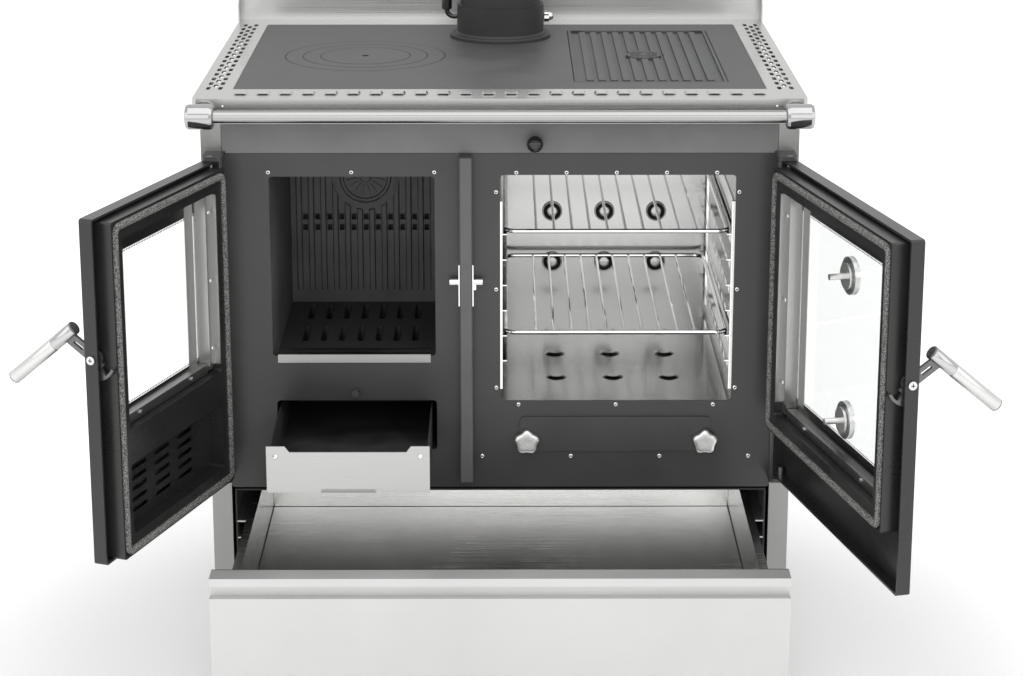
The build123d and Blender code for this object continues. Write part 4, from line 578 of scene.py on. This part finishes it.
def circle(radius, sides):
    """Points round a circle, as (a, b)."""
    turns = [2 * math.pi * i / sides for i in range(sides)]
    return [(radius * math.cos(turn), radius * math.sin(turn)) for turn in turns]


def rectangle(left, right, bottom, top):
    """The four corners, in order round it."""
    return [(left, bottom), (right, bottom), (right, top), (left, top)]


def scaled(profile, radius):
    """A profile whose second numbers are shares of a radius, as lengths."""
    return [(distance, share * radius) for distance, share in profile]


def skin(builder, rings, looped=False):
    """Four-sided faces between each ring of vertices and the next one."""
    nexts = rings[1:] + rings[:1] if looped else rings[1:]
    for ring, following in zip(rings, nexts):
        for i in range(len(ring)):
            j = (i + 1) % len(ring)
            builder.faces.new((ring[i], ring[j], following[j], following[i]))


def turned(builder, profile, centre, along, sides, closed=True):
    """Surface turned about a centre: the profile's points are (distance along the axis, radius)."""
    axis = Vector(along).normalized()
    first = axis.orthogonal().normalized()
    second = axis.cross(first)
    rings = []
    for distance, radius in profile:
        ring = []
        for i in range(sides):
            angle = 2 * math.pi * (i + 0.5) / sides
            out = first * math.cos(angle) + second * math.sin(angle)
            ring.append(builder.verts.new(Vector(centre) + axis * distance + out * radius))
        rings.append(ring)
    skin(builder, rings)
    if closed:
        builder.faces.new(rings[0])
        builder.faces.new(rings[-1])


def prism(builder, outline, low, high):
    """Block over an outline: low and high turn an outline point into its two corners."""
    floor_ring = [builder.verts.new(low(point)) for point in outline]
    roof_ring = [builder.verts.new(high(point)) for point in outline]
    skin(builder, [floor_ring, roof_ring])
    builder.faces.new(floor_ring)
    builder.faces.new(roof_ring)


def box_shape(builder, low, high, place=Matrix.Identity(4)):
    """Box between two corners, on a door between two corners of the shut one."""
    prism(builder, rectangle(low[0], high[0], low[1], high[1]),
          lambda p: place @ Vector((p[0], p[1], low[2])),
          lambda p: place @ Vector((p[0], p[1], high[2])))


def flat_band(builder, place, inner, outer):
    """Band between two loops of points; place turns a point into a corner."""
    skin(builder, [[builder.verts.new(place(point)) for point in loop] for loop in (inner, outer)])


# ------------------------------------------------------------------ rope gaskets
def rounded_loop(low, high, corner, step):
    """Points and outward directions round an upright rounded rectangle in X and Z."""
    x0, x1, z0, z1 = low.x, high.x, low.z, high.z
    loop = []
    sides = [
        ((x0 + corner, z0), (x1 - corner, z0), (0, -1), (x1 - corner, z0 + corner), -90),
        ((x1, z0 + corner), (x1, z1 - corner), (1, 0), (x1 - corner, z1 - corner), 0),
        ((x1 - corner, z1), (x0 + corner, z1), (0, 1), (x0 + corner, z1 - corner), 90),
        ((x0, z1 - corner), (x0, z0 + corner), (-1, 0), (x0 + corner, z0 + corner), 180),
    ]
    for start, stop, out, centre, angle in sides:
        length = math.hypot(stop[0] - start[0], stop[1] - start[1])
        count = max(2, round(length / step))
        for i in range(count):
            t = i / count
            x = start[0] + (stop[0] - start[0]) * t
            z = start[1] + (stop[1] - start[1]) * t
            loop.append(((x, z), out))
        turns = max(3, round(corner * math.pi / 2 / step))
        for i in range(turns):
            a = math.radians(angle + 90 * i / turns)
            out = (math.cos(a), math.sin(a))
            loop.append(((centre[0] + corner * out[0], centre[1] + corner * out[1]), out))
    return loop


def rope(node, joint_name, body):
    """Knitted rope along a gasket's band, with its stitches as relief."""
    low, high = shut_box(node, joint_name)
    depth = (high.y - low.y) / 2
    middle_y = (low.y + high.y) / 2
    inset = Vector((ROPE_HALF_WIDTH, 0, ROPE_HALF_WIDTH))
    loop = rounded_loop(low + inset, high - inset, ROPE_CORNER, ROPE_STEP)
    place = opened(joint_name)
    builder = bmesh.new()
    rings = []
    travelled = 0.0
    previous = loop[-1][0]
    for point, out in loop:
        travelled += math.hypot(point[0] - previous[0], point[1] - previous[1])
        previous = point
        ring = []
        for side in range(ROPE_SIDES):
            angle = 2 * math.pi * side / ROPE_SIDES
            wave = math.sin(2 * math.pi * travelled / KNIT_PITCH + KNIT_STRANDS * angle)
            swell = 1 - KNIT_DEPTH + KNIT_DEPTH * wave
            across = ROPE_HALF_WIDTH * swell * math.cos(angle)
            local = Vector((point[0] + out[0] * across, middle_y + depth * swell * math.sin(angle),
                            point[1] + out[1] * across))
            ring.append(builder.verts.new(place @ local))
        rings.append(ring)
    skin(builder, rings, looped=True)
    piece = piece_from(builder, node + "_rope", "rope", body)
    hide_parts(node)


# ------------------------------------------------------------------ frit borders
def frit(node, joint_name, body):
    """Printed border on the inner face of the pane, ending in a row of dots."""
    low, high = shut_box(node, joint_name)
    place = opened(joint_name)
    y = high.y + FRIT_LIFT
    outer = (low.x + PANE_LAP, high.x - PANE_LAP, low.z + PANE_LAP, high.z - PANE_LAP)
    x0, x1 = outer[0] + FRIT_WIDTH, outer[1] - FRIT_WIDTH
    z0, z1 = outer[2] + FRIT_WIDTH, outer[3] - FRIT_TOP_WIDTH
    builder = bmesh.new()

    def vertex(x, z):
        return builder.verts.new(place @ Vector((x, y, z)))

    outside = [vertex(*point) for point in rectangle(*outer)]
    inside = [vertex(*point) for point in rectangle(x0, x1, z0, z1)]
    skin(builder, [outside, inside])
    along_x = int((x1 - x0) / FRIT_DOT_PITCH)
    along_z = int((z1 - z0) / FRIT_DOT_PITCH)
    step = FRIT_DOT_RADIUS * FRIT_DOT_OFFSET
    dots = [(x0 + (i + 0.5) * FRIT_DOT_PITCH, z) for i in range(along_x) for z in (z0 + step, z1 - step)]
    dots += [(x, z0 + (i + 0.5) * FRIT_DOT_PITCH) for i in range(along_z) for x in (x0 + step, x1 - step)]
    for x, z in dots:
        builder.faces.new([vertex(x + a, z + b) for a, b in circle(FRIT_DOT_RADIUS, FRIT_DOT_SIDES)])
    piece_from(builder, node + "_print", "print", body, smooth=False)


# ------------------------------------------------------------------ screws
def screw(builder, centre, radius, rise):
    """Domed head that faces the front, with a six-sided socket."""
    profile = [(1.0, 0.0), (0.98, 0.35), (0.86, 0.72), (0.66, 0.93), (0.50, 1.0), (0.44, 0.96),
               (0.42, 0.35)]
    rings = []
    for share, height in profile:
        ring = []
        for i in range(SCREW_SIDES):
            angle = 2 * math.pi * i / SCREW_SIDES
            reach = radius * share
            if share < SOCKET_RIM:
                sector = math.fmod(angle, math.pi / 3) - math.pi / 6
                reach *= math.cos(math.pi / 6) / math.cos(sector)
            ring.append(builder.verts.new((centre.x + reach * math.cos(angle), centre.y - rise * height,
                                           centre.z + reach * math.sin(angle))))
        rings.append(ring)
    skin(builder, rings)
    builder.faces.new(rings[-1])


def frame_screw_heads():
    """Detailed heads where the plain ones are, each with a near-black six-sided disc of painted shade in its
    socket.
    """
    builder, socket_shades = bmesh.new(), bmesh.new()
    for low, high in islands("frame_screws"):
        middle = (low + high) / 2
        radius, rise = (high.x - low.x) / 2, high.y - low.y
        screw(builder, Vector((middle.x, high.y, middle.z)), radius, rise)
        # painted shade: a near-black disc down in the socket stands for the shade inside it
        y = high.y - SOCKET_SHADE_LEVEL * rise
        socket_shades.faces.new([socket_shades.verts.new((middle.x + a, y, middle.z + b))
                           for a, b in circle(SOCKET_SHADE_SHARE * radius, SOCKET_SHADE_SIDES)])
    piece_from(socket_shades, "frame_screw_sockets", "seam", "stove", smooth=False)
    piece = piece_from(builder, "frame_screw_heads", "chrome", "stove")
    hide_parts("frame_screws")


def ash_drawer_screws():
    """One screw in each raised ear of the ash drawer's front."""
    low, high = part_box("ash_drawer_front")
    sheet_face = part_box("ash_drawer_box")[0][1] - ASH_FRONT_SHEET
    builder = bmesh.new()
    for x in (low[0] + ASH_SCREW_INSET, high[0] - ASH_SCREW_INSET):
        centre = Vector((x, sheet_face, high[2] - ASH_SCREW_DROP))
        screw(builder, centre, DRAWER_SCREW_RADIUS, ASH_SCREW_RISE)
    piece_from(builder, "ash_drawer_screws", "chrome", "ash_drawer")


# ------------------------------------------------------------------ cooking plate
def ring_gap_shade(node, body, radius):
    """Near-black band of painted shade round a ring, for the shade in the gap round it."""
    low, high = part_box(node)
    middle = ((low[0] + high[0]) / 2, (low[1] + high[1]) / 2)
    z = high[2] + SHADE_BAND_LIFT
    builder = bmesh.new()
    flat_band(builder, lambda p: Vector((middle[0] + p[0], middle[1] + p[1], z)),
              circle(radius - SHADE_BAND_WIDTH, SHADE_BAND_SIDES), circle(radius, SHADE_BAND_SIDES))
    piece_from(builder, f"{node}_seam_{round(radius * 1e4)}", "seam", body, smooth=False)


def ring_gap_shades():
    """A band of painted shade round each ring, and one round the hole that lifts the smallest."""
    for node in ("ring_outer", "ring_middle", "ring_disc"):
        low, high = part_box(node)
        ring_gap_shade(node, node, (high[0] - low[0]) / 2)
    ring_gap_shade("ring_disc", "ring_disc", LIFT_HOLE_RADIUS + SHADE_BAND_WIDTH)


def griddle_gap_shade():
    """Near-black band of painted shade round the griddle, for the shade in the gap round it."""
    low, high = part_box("griddle_insert")
    z = high[2] + SHADE_BAND_LIFT
    w = SHADE_BAND_WIDTH
    builder = bmesh.new()
    flat_band(builder, lambda p: Vector((p[0], p[1], z)),
              rectangle(low[0] + w, high[0] - w, low[1] + w, high[1] - w),
              rectangle(low[0], high[0], low[1], high[1]))
    piece_from(builder, "griddle_gap_shade", "seam", "griddle", smooth=False)


def fluted_disc(name, finish, body, centre, right, up, out, radius, rise):
    """Plain rim with a ring of short flutes and a round boss, raised from a flat place."""
    builder = bmesh.new()

    def spot(reach, angle, height):
        return centre + right * (reach * math.cos(angle)) + up * (reach * math.sin(angle)) + out * height

    rim = [(0.0, 1.0), (0.8, 0.985), (1.0, 0.96), (1.0, 0.88), (0.8, 0.855), (0.0, 0.84)]
    sides = 4 * FLUTE_COUNT
    rings = []
    for height, share in rim:
        rings.append([builder.verts.new(spot(radius * share, 2 * math.pi * i / sides, rise * height))
                      for i in range(sides)])
    skin(builder, rings, looped=True)
    half = FLUTE_HALF * math.pi / FLUTE_COUNT
    flute = [(0.36, -half), (0.72, -half), (0.78, 0.0), (0.72, half), (0.36, half), (0.31, 0.0)]
    for k in range(FLUTE_COUNT):
        angle = 2 * math.pi * (k + 0.5) / FLUTE_COUNT
        prism(builder, flute,
              lambda p: spot(radius * p[0], angle + p[1] * FLUTE_FOOT / p[0], 0.0),
              lambda p: spot(radius * p[0], angle + p[1] * FLUTE_CREST / p[0], FLUTE_RISE * rise))
    boss = [(0.0, 0.24), (0.7, 0.225), (1.0, 0.17), (1.0, 0.02)]
    turned(builder, [(rise * height, radius * share) for height, share in boss], centre, out, sides=32)
    piece_from(builder, name, finish, body, smooth=False)


def roundel():
    """Fluted relief on the griddle's boss."""
    low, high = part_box("griddle_insert")
    centre = Vector(((low[0] + high[0]) / 2, (low[1] + high[1]) / 2, high[2]))
    fluted_disc("griddle_roundel", "iron", "griddle", centre, Vector((1, 0, 0)),
                Vector((0, 1, 0)), Vector((0, 0, 1)), ROUNDEL_RADIUS, ROUNDEL_RISE)


def damper_nut():
    """Bright cap nut on the end of the damper's shaft."""
    pivot = JOINTS["flue_damper_turn"]["pos_m"]
    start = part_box("damper_lever")[1][0] - NUT_LENGTH - NUT_DOME + NUT_STAND
    place = (start, pivot[1], pivot[2])
    builder = bmesh.new()
    hexagon = [(0.0, NUT_CHAMFER * NUT_RADIUS), (NUT_EDGE, NUT_RADIUS),
               (NUT_LENGTH - NUT_EDGE, NUT_RADIUS), (NUT_LENGTH, NUT_CHAMFER * NUT_RADIUS)]
    turned(builder, hexagon, place, (1, 0, 0), sides=6)
    turns = [math.radians(15 * k) for k in range(6)]
    dome = [(NUT_LENGTH + NUT_DOME * math.sin(t), NUT_DOME_SHARE * NUT_RADIUS * math.cos(t))
            for t in turns]
    turned(builder, dome, place, (1, 0, 0), sides=24)
    piece_from(builder, "damper_cap_nut", "chrome", "flue_damper", smooth=False)


def apron_rivets():
    """Small bright rivets near the two ends of the apron."""
    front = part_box("top_frame")[0][1]
    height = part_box("cooking_plate")[1][2] - RIVET_BELOW_TOP
    head = [(0.0, 1.0), (0.0005, 0.95), (0.0009, 0.6), (0.0010, 0.1)]
    builder = bmesh.new()
    for x in (-RIVET_X, RIVET_X):
        turned(builder, scaled(head, RIVET_RADIUS), (x, front, height), (0, -1, 0), sides=20)
    piece_from(builder, "apron_rivets", "chrome", "stove")


# ------------------------------------------------------------------ firebox, strikers, oven
def medallion():
    """Fluted relief in the round place of the firebox's back plate."""
    low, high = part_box("firebox_back_plate")
    floor_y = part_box("grate_bed")[1][1] - MEDALLION_DEPTH
    centre = Vector(((low[0] + high[0]) / 2, floor_y, high[2] - MEDALLION_BELOW_TOP))
    fluted_disc("medallion_relief", "iron_fire", "stove", centre, Vector((1, 0, 0)),
                Vector((0, 0, 1)), Vector((0, -1, 0)), MEDALLION_RADIUS, MEDALLION_RELIEF)


def star_knob(node, body):
    """Cast knob with five soft lobes and a rounded face."""
    low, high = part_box(node)
    pivot = JOINTS[body + "_turn"]["pos_m"]
    reach = (high[2] - pivot[2]) * STAR_REACH
    front = low[1] + STAR_INSET
    sections = [(1.0, 0.66), (1.0, 0.84), (0.68, 0.96), (0.40, 1.0), (0.19, 0.985), (0.064, 0.93),
                (0.016, 0.84), (0.0, 0.70), (0.024, 0.30)]
    builder = bmesh.new()
    rings = []
    for depth, share in sections:
        y = front + depth * STAR_DEPTH
        ring = []
        for i in range(STAR_SIDES):
            angle = 2 * math.pi * i / STAR_SIDES
            lobe = 1 - STAR_WAIST + STAR_WAIST * math.cos(STAR_LOBES * angle)
            radius = reach * share * lobe
            ring.append(builder.verts.new((pivot[0] + radius * math.sin(angle), y,
                                           pivot[2] + radius * math.cos(angle))))
        rings.append(ring)
    skin(builder, rings)
    builder.faces.new(rings[0])
    builder.faces.new(rings[-1])
    piece = piece_from(builder, node + "_lobed", "satin", body)
    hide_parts(node)


def striker_block():
    """Bright block and end collar on the right-hand pin."""
    low, high = max(islands("door_strikers"), key=lambda box: box[1].x)
    width, depth, height = STRIKER_BLOCK
    pin_z = JOINTS["oven_handle_turn"]["pos_m"][2] + STRIKER_PIN_LIFT
    pin_y = (low.y + high.y) / 2
    x0 = low.x + STRIKER_PLATE
    builder = bmesh.new()
    box_shape(builder, (x0, pin_y - depth / 2, pin_z - height), (x0 + width, pin_y + depth / 2, pin_z))
    bmesh.ops.bevel(builder, geom=builder.edges[:], offset=STRIKER_BEVEL, segments=2, affect="EDGES")
    collar = [(0.0, COLLAR_END_RADIUS), (COLLAR_EDGE, COLLAR_RADIUS),
              (COLLAR_LENGTH - COLLAR_EDGE, COLLAR_RADIUS), (COLLAR_LENGTH, COLLAR_END_RADIUS)]
    turned(builder, collar, (high.x - COLLAR_LENGTH, pin_y, pin_z), (1, 0, 0), sides=28)
    piece_from(builder, "striker_block", "chrome", "stove", smooth=False)


def oven_caps():
    """Pressed vents on the oven's back wall: bright rim, bright dome, and between them a near-black channel
    of painted shade in the recess.
    """
    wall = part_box("oven_box")[1][1] - OVEN_WALL
    rim = [(0.0, 1.0), (0.9, 0.99), (1.2, 0.95), (1.3, 0.91), (1.2, 0.87), (1.03, 0.85)]
    channel_shade = [(1.03, 0.86), (1.02, 0.56)]
    dome = [(1.02, 0.57), (1.3, 0.54), (1.5, 0.44), (1.6, 0.26), (1.65, 0.04)]
    # the channels are painted shade: the recess is drawn near-black where it falls into shade
    parts = (("rims", rim, "bright"), ("channels", channel_shade, "seam"), ("domes", dome, "bright"))
    for part, shares, finish in parts:
        builder = bmesh.new()
        profile = [(rise * CAP_RISE + CAP_LIFT, share * (CAP_RADIUS + CAP_GROWTH)) for rise, share in shares]
        for x in CAP_PLACES:
            for z in CAP_HEIGHTS:
                turned(builder, profile, (x, wall, z), (0, -1, 0), sides=40, closed=part == "domes")
        piece_from(builder, f"oven_cap_{part}", finish, "stove")


# ------------------------------------------------------------------ doors
def hinge_liner(node, joint_name, body, side):
    """Bright strips inside the door's box on its hinge side, with the screws that hold them."""
    low, high = shut_box(node, joint_name)
    pane_low = shut_box(node.replace("_box", "_glass"), joint_name)[0]
    place = opened(joint_name)
    wall_x = high.x - BOX_RIM if side > 0 else low.x + BOX_RIM
    z0, z1 = pane_low.z + PANE_LAP, high.z - BOX_RIM - LINER_TOP_GAP
    top_y, floor_y = high.y - LINER_RIM_GAP, high.y - BOX_ROOM
    clamp_top = floor_y + CLAMP_DEPTH + CLAMP_CLEARANCE
    inwards = -side
    clamp_x = wall_x + inwards * CLAMP_WIDTH
    strip_x = clamp_x + inwards * GLASS_STRIP_GAP
    builder = bmesh.new()
    strips = (
        (wall_x, wall_x + inwards * LINER_SHEET, floor_y + CLAMP_DEPTH, top_y),
        (wall_x, clamp_x, clamp_top, clamp_top + LINER_SHEET),
        (clamp_x, clamp_x + inwards * LINER_SHEET, floor_y, clamp_top + LINER_SHEET),
        (strip_x, strip_x + inwards * GLASS_STRIP, floor_y, floor_y + LINER_SHEET),
    )
    for start, stop, back_y, front_y in strips:
        left, right = sorted((start, stop))
        box_shape(builder, (left, back_y, z0), (right, front_y, z1), place)
    piece_from(builder, f"{body}_hinge_liner", "clamp", body, smooth=False)
    heads = bmesh.new()
    dome = [(0.0, 0.0034), (0.0008, 0.0033), (0.0014, 0.0026), (0.0017, 0.0012), (0.0010, 0.0008)]
    out = place.to_3x3() @ Vector((0, 1, 0))
    for share in LINER_SCREW_SHARES:
        centre = Vector(((wall_x + clamp_x) / 2, clamp_top + LINER_SHEET, z0 + (z1 - z0) * share))
        turned(heads, dome, place @ centre, out, sides=20)
    piece_from(heads, f"{body}_liner_screws", "chrome", body)


def grip_pieces(node, door_joint, handle_joint, body):
    """Satin lower sleeve, polished upper grip and a dark end disc."""
    place = opened(handle_joint) @ opened(door_joint)
    back = place.inverted()
    low, high = corners([back @ vertex.co for vertex in NODES[node].data.vertices])
    foot = low.z
    top = foot + GRIP_LENGTH
    joint = foot + GRIP_LENGTH * 2 / 3
    core = GRIP_RADIUS
    r = core + SLEEVE_WALL
    edge, taper = GRIP_EDGE, 2 * GRIP_EDGE
    along = place.to_3x3() @ Vector((0, 0, 1))
    origin = place @ Vector(((low.x + high.x) / 2, low.y + GRIP_RADIUS, 0.0))
    parts = (
        ("sleeve", "grip_satin", [(foot + taper, core), (foot + 1.1 * taper, r), (joint - edge, r),
                                  (joint, r - edge / 2)]),
        ("upper", "grip_chrome", [(joint, r - edge / 2), (joint + edge, r), (top - 1.1 * taper, r),
                                  (top - taper, core)]),
        ("end", "seam", [(foot + rise, share * r) for rise, share in END_DISC]),
    )
    for part, finish, profile in parts:
        builder = bmesh.new()
        turned(builder, profile, origin, along, sides=48)
        piece_from(builder, f"{body}_{part}", finish, body)


def pivot_screw(node, joint_name, handle_joint, body, side):
    """Low domed cap on the head of the handle's pivot screw, with a near-black cross of painted shade for
    its cross recess.
    """
    low, high = shut_box(node, joint_name)
    place = opened(joint_name)
    free = low.x if side > 0 else high.x
    pivot = place.inverted() @ Vector(JOINTS[handle_joint]["pos_m"])
    axis = place.to_3x3() @ Vector((-side, 0, 0))
    centre = place @ Vector((free, pivot.y, pivot.z))
    dome = [(0.00245, 0.97), (0.00272, 0.80), (0.00292, 0.60), (0.00302, 0.38), (0.00306, 0.06)]
    builder = bmesh.new()
    turned(builder, scaled(dome, PIVOT_HEAD), centre, axis, sides=36)
    piece_from(builder, f"{body}_pivot_head", "chrome", body)
    left, right = sorted((free - side * CROSS_FOOT, free - side * CROSS_TOP))
    arm, half = CROSS_ARM * PIVOT_HEAD, CROSS_HALF * PIVOT_HEAD
    # painted shade: the dark cross stands for the shade in the head's cross recess
    cross = bmesh.new()
    for along, across in ((arm, half), (half, arm)):
        box_shape(cross, (left, pivot.y - along, pivot.z - across),
                  (right, pivot.y + along, pivot.z + across), place)
    piece_from(cross, f"{body}_pivot_cross_shade", "seam", body, smooth=False)


def thermometer_dials():
    """Bezel, pale face, plain ticks and a needle on the outer side of each thermometer."""
    place = opened("oven_door_hinge")
    turn = place.to_3x3()
    right, up, out = (turn @ Vector(axis) for axis in ((1, 0, 0), (0, 0, 1), (0, -1, 0)))
    bezels, faces, marks = bmesh.new(), bmesh.new(), bmesh.new()
    bezel = [(-0.0010, 1.0), (-0.0010, 1.012), (0.0008, 1.012), (0.0014, 0.98), (0.0014, 0.93),
             (0.0002, 0.90)]
    face = [(0.0002, 0.91), (0.0003, 0.90)]
    hub = [(0.0003, 0.09), (0.0010, 0.08), (0.0012, 0.05)]
    needle = [(-0.18, -0.045), (0.62, 0.0), (-0.18, 0.045)]

    def mark(centre, r, angle, outline):
        along = right * math.cos(angle) + up * math.sin(angle)
        across = up * math.cos(angle) - right * math.sin(angle)
        prism(marks, [(a * r, b * r) for a, b in outline],
              lambda p: centre + along * p[0] + across * p[1] + out * MARK_FOOT,
              lambda p: centre + along * p[0] + across * p[1] + out * MARK_TOP)

    for low, high in islands("oven_thermometers", place.inverted()):
        centre = place @ Vector(((low.x + high.x) / 2, low.y, (low.z + high.z) / 2))
        r = (high.z - low.z) / 2
        turned(bezels, scaled(bezel, r), centre, out, sides=64, closed=False)
        turned(faces, scaled(face, r), centre, out, sides=64)
        for k in range(DIAL_TICKS):
            angle = math.radians(90 + DIAL_SWEEP / 2 - DIAL_SWEEP * k / (DIAL_TICKS - 1))
            start, half = SHORT_TICK if k % DIAL_LONG_EVERY else LONG_TICK
            mark(centre, r, angle, rectangle(start, TICK_END, -half, half))
        mark(centre, r, math.radians(DIAL_NEEDLE), needle)
        turned(marks, scaled(hub, r), centre, out, sides=24)
    piece_from(bezels, "thermometer_bezels", "chrome", "oven_door")
    piece_from(faces, "thermometer_faces", "dial", "oven_door", smooth=False)
    piece_from(marks, "thermometer_marks", "print", "oven_door", smooth=False)


# ------------------------------------------------------------------ wood drawer
def drawer_screws():
    """Round heads on the wood drawer's side walls and near the ends of its back."""
    low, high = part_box("wood_drawer_box")
    rim_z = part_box("wood_drawer_front")[1][2] - DRAWER_RIM_DROP
    back_y = high[1] - DRAWER_SHEET
    head = [(0.0, 1.0), (0.0007, 0.97), (0.0013, 0.75), (0.0016, 0.30), (0.0010, 0.22)]
    profile = scaled(head, DRAWER_SCREW_RADIUS)
    builder = bmesh.new()
    for side in (-1, 1):
        for share in SIDE_SCREW_SHARES:
            y = low[1] + (high[1] - low[1]) * share
            place = (side * DRAWER_INNER_HALF, y, rim_z - SIDE_SCREW_DROP)
            turned(builder, profile, place, (-side, 0, 0), sides=24)
        place = (side * BACK_SCREW_X, back_y, rim_z - BACK_SCREW_DROP)
        turned(builder, profile, place, (0, -1, 0), sides=24)
    piece_from(builder, "wood_drawer_screws", "chrome", "wood_drawer")


def drawer_fold_shades():
    """Near-black lines of painted shade in the creases where the wood drawer's floor, sides and back meet.
    """
    low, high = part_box("wood_drawer_box")
    front, back = low[1] + DRAWER_SHEET, high[1] - DRAWER_SHEET
    rim_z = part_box("wood_drawer_front")[1][2] - DRAWER_RIM_DROP
    floor_z = rim_z - DRAWER_DEPTH
    half, width, lift = DRAWER_INNER_HALF, SHADE_BAND_WIDTH, 2 * SHADE_BAND_LIFT
    builder = bmesh.new()
    box_shape(builder, (-half, back - width, floor_z), (half, back, floor_z + lift))
    for side in (-1, 1):
        foot = sorted((side * half, side * (half - width)))
        box_shape(builder, (foot[0], front, floor_z), (foot[1], back, floor_z + lift))
        edge = sorted((side * half, side * (half - lift)))
        box_shape(builder, (edge[0], back - width, floor_z), (edge[1], back, rim_z))
    piece_from(builder, "wood_drawer_folds", "seam", "wood_drawer", smooth=False)


# ------------------------------------------------------------------ every piece, in order
DOORS = {"firebox": -1, "oven": 1}     # with the side of its hinge

for door in DOORS:
    rope(f"{door}_door_gasket", f"{door}_door_hinge", f"{door}_door")
for door in DOORS:
    frit(f"{door}_door_glass", f"{door}_door_hinge", f"{door}_door")
frame_screw_heads()
ash_drawer_screws()
ring_gap_shades()
griddle_gap_shade()
roundel()
damper_nut()
apron_rivets()
medallion()
star_knob("star_knob_left", "star_left")
star_knob("star_knob_right", "star_right")
striker_block()
oven_caps()
for door, side in DOORS.items():
    hinge_liner(f"{door}_door_box", f"{door}_door_hinge", f"{door}_door", side)
for door in DOORS:
    grip_pieces(f"{door}_door_handle", f"{door}_door_hinge", f"{door}_handle_turn", f"{door}_handle")
for door, side in DOORS.items():
    pivot_screw(f"{door}_door_pan", f"{door}_door_hinge", f"{door}_handle_turn", f"{door}_door", side)
thermometer_dials()
drawer_screws()
drawer_fold_shades()


# ------------------------------------------------------------------ floor, light, camera
def seen_directly(tree):
    """1 for rays of the camera, of gloss and through glass, and 0 for all others."""
    path = tree.nodes.new("ShaderNodeLightPath")
    value = path.outputs["Is Camera Ray"]
    for name in ("Is Glossy Ray", "Is Transmission Ray"):
        larger = tree.nodes.new("ShaderNodeMath")
        larger.operation = "MAXIMUM"
        tree.links.new(value, larger.inputs[0])
        tree.links.new(path.outputs[name], larger.inputs[1])
        value = larger.outputs["Value"]
    return value


def floor():
    """Pale plane with the object's shadow. Where it is seen directly it also glows, more far out, so the
    grey pool round the base is partly painted shade and not all of it is the object's shadow.
    """
    mesh = bpy.data.meshes.new("floor")
    builder = bmesh.new()
    bmesh.ops.create_grid(builder, x_segments=1, y_segments=1, size=FLOOR_HALF)
    builder.to_mesh(mesh)
    builder.free()
    plane = bpy.data.objects.new("floor", mesh)
    bpy.context.scene.collection.objects.link(plane)
    material = bpy.data.materials.new("pale_floor")
    material.use_nodes = True
    tree = material.node_tree
    bsdf = tree.nodes["Principled BSDF"]
    bsdf.inputs["Base Color"].default_value = (FLOOR_TONE, FLOOR_TONE, FLOOR_TONE, 1.0)
    bsdf.inputs["Roughness"].default_value = FLOOR_ROUGHNESS
    bsdf.inputs["Emission Color"].default_value = (1.0, 1.0, 1.0, 1.0)
    # painted shade: the glow is lower near the object and rises outwards with distance, which paints a grey
    # pool round its base
    place = tree.nodes.new("ShaderNodeTexCoord")
    distance = tree.nodes.new("ShaderNodeVectorMath")
    distance.operation = "LENGTH"
    tree.links.new(place.outputs["Object"], distance.inputs[0])
    spread = tree.nodes.new("ShaderNodeMapRange")
    spread.interpolation_type = "SMOOTHSTEP"
    spread.inputs["From Min"].default_value = PAINTED_POOL_INNER
    spread.inputs["From Max"].default_value = PAINTED_POOL_OUTER
    spread.inputs["To Min"].default_value = FLOOR_GLOW_IN_PAINTED_POOL
    spread.inputs["To Max"].default_value = FLOOR_GLOW_FAR
    tree.links.new(distance.outputs["Value"], spread.inputs["Value"])
    glow = tree.nodes.new("ShaderNodeMath")
    glow.operation = "MULTIPLY"
    tree.links.new(seen_directly(tree), glow.inputs[0])
    tree.links.new(spread.outputs["Result"], glow.inputs[1])
    tree.links.new(glow.outputs["Value"], bsdf.inputs["Emission Strength"])
    mesh.materials.append(material)


def world():
    """Plain light; the camera, gloss and glass see white."""
    sky = bpy.data.worlds.new("studio")
    bpy.context.scene.world = sky
    sky.use_nodes = True
    tree = sky.node_tree
    background = tree.nodes["Background"]
    white = tree.nodes.new("ShaderNodeBackground")
    white.inputs["Color"].default_value = (1.0, 1.0, 1.0, 1.0)
    white.inputs["Strength"].default_value = 1.0
    background.inputs["Color"].default_value = (1.0, 1.0, 1.0, 1.0)
    background.inputs["Strength"].default_value = SKY_LIGHT
    mix = tree.nodes.new("ShaderNodeMixShader")
    tree.links.new(seen_directly(tree), mix.inputs["Fac"])
    tree.links.new(background.outputs["Background"], mix.inputs[1])
    tree.links.new(white.outputs["Background"], mix.inputs[2])
    tree.links.new(mix.outputs["Shader"], tree.nodes["World Output"].inputs["Surface"])


def softbox(name, place, target, width, height, power):
    """Rectangular lamp that faces its target."""
    lamp = bpy.data.lights.new(name, "AREA")
    lamp.shape = "RECTANGLE"
    lamp.size = width
    lamp.size_y = height
    lamp.energy = power
    box = bpy.data.objects.new(name, lamp)
    box.location = place
    box.rotation_euler = (Vector(target) - Vector(place)).to_track_quat("-Z", "Y").to_euler()
    bpy.context.scene.collection.objects.link(box)


def camera():
    """The camera, at the photo's viewing angle."""
    lens = bpy.data.cameras.new("camera")
    lens.lens = CAMERA_LENS
    lens.sensor_width = SENSOR_WIDTH
    lens.shift_y = CAMERA_SHIFT
    eye = bpy.data.objects.new("camera", lens)
    eye.location = CAMERA_PLACE
    eye.rotation_euler = (math.radians(90 - CAMERA_TILT), 0.0, math.radians(-CAMERA_YAW))
    bpy.context.scene.collection.objects.link(eye)
    bpy.context.scene.camera = eye


floor()
world()
for lamp in LAMPS:
    softbox(*lamp)
camera()
bpy.context.scene.view_settings.view_transform = "Standard"
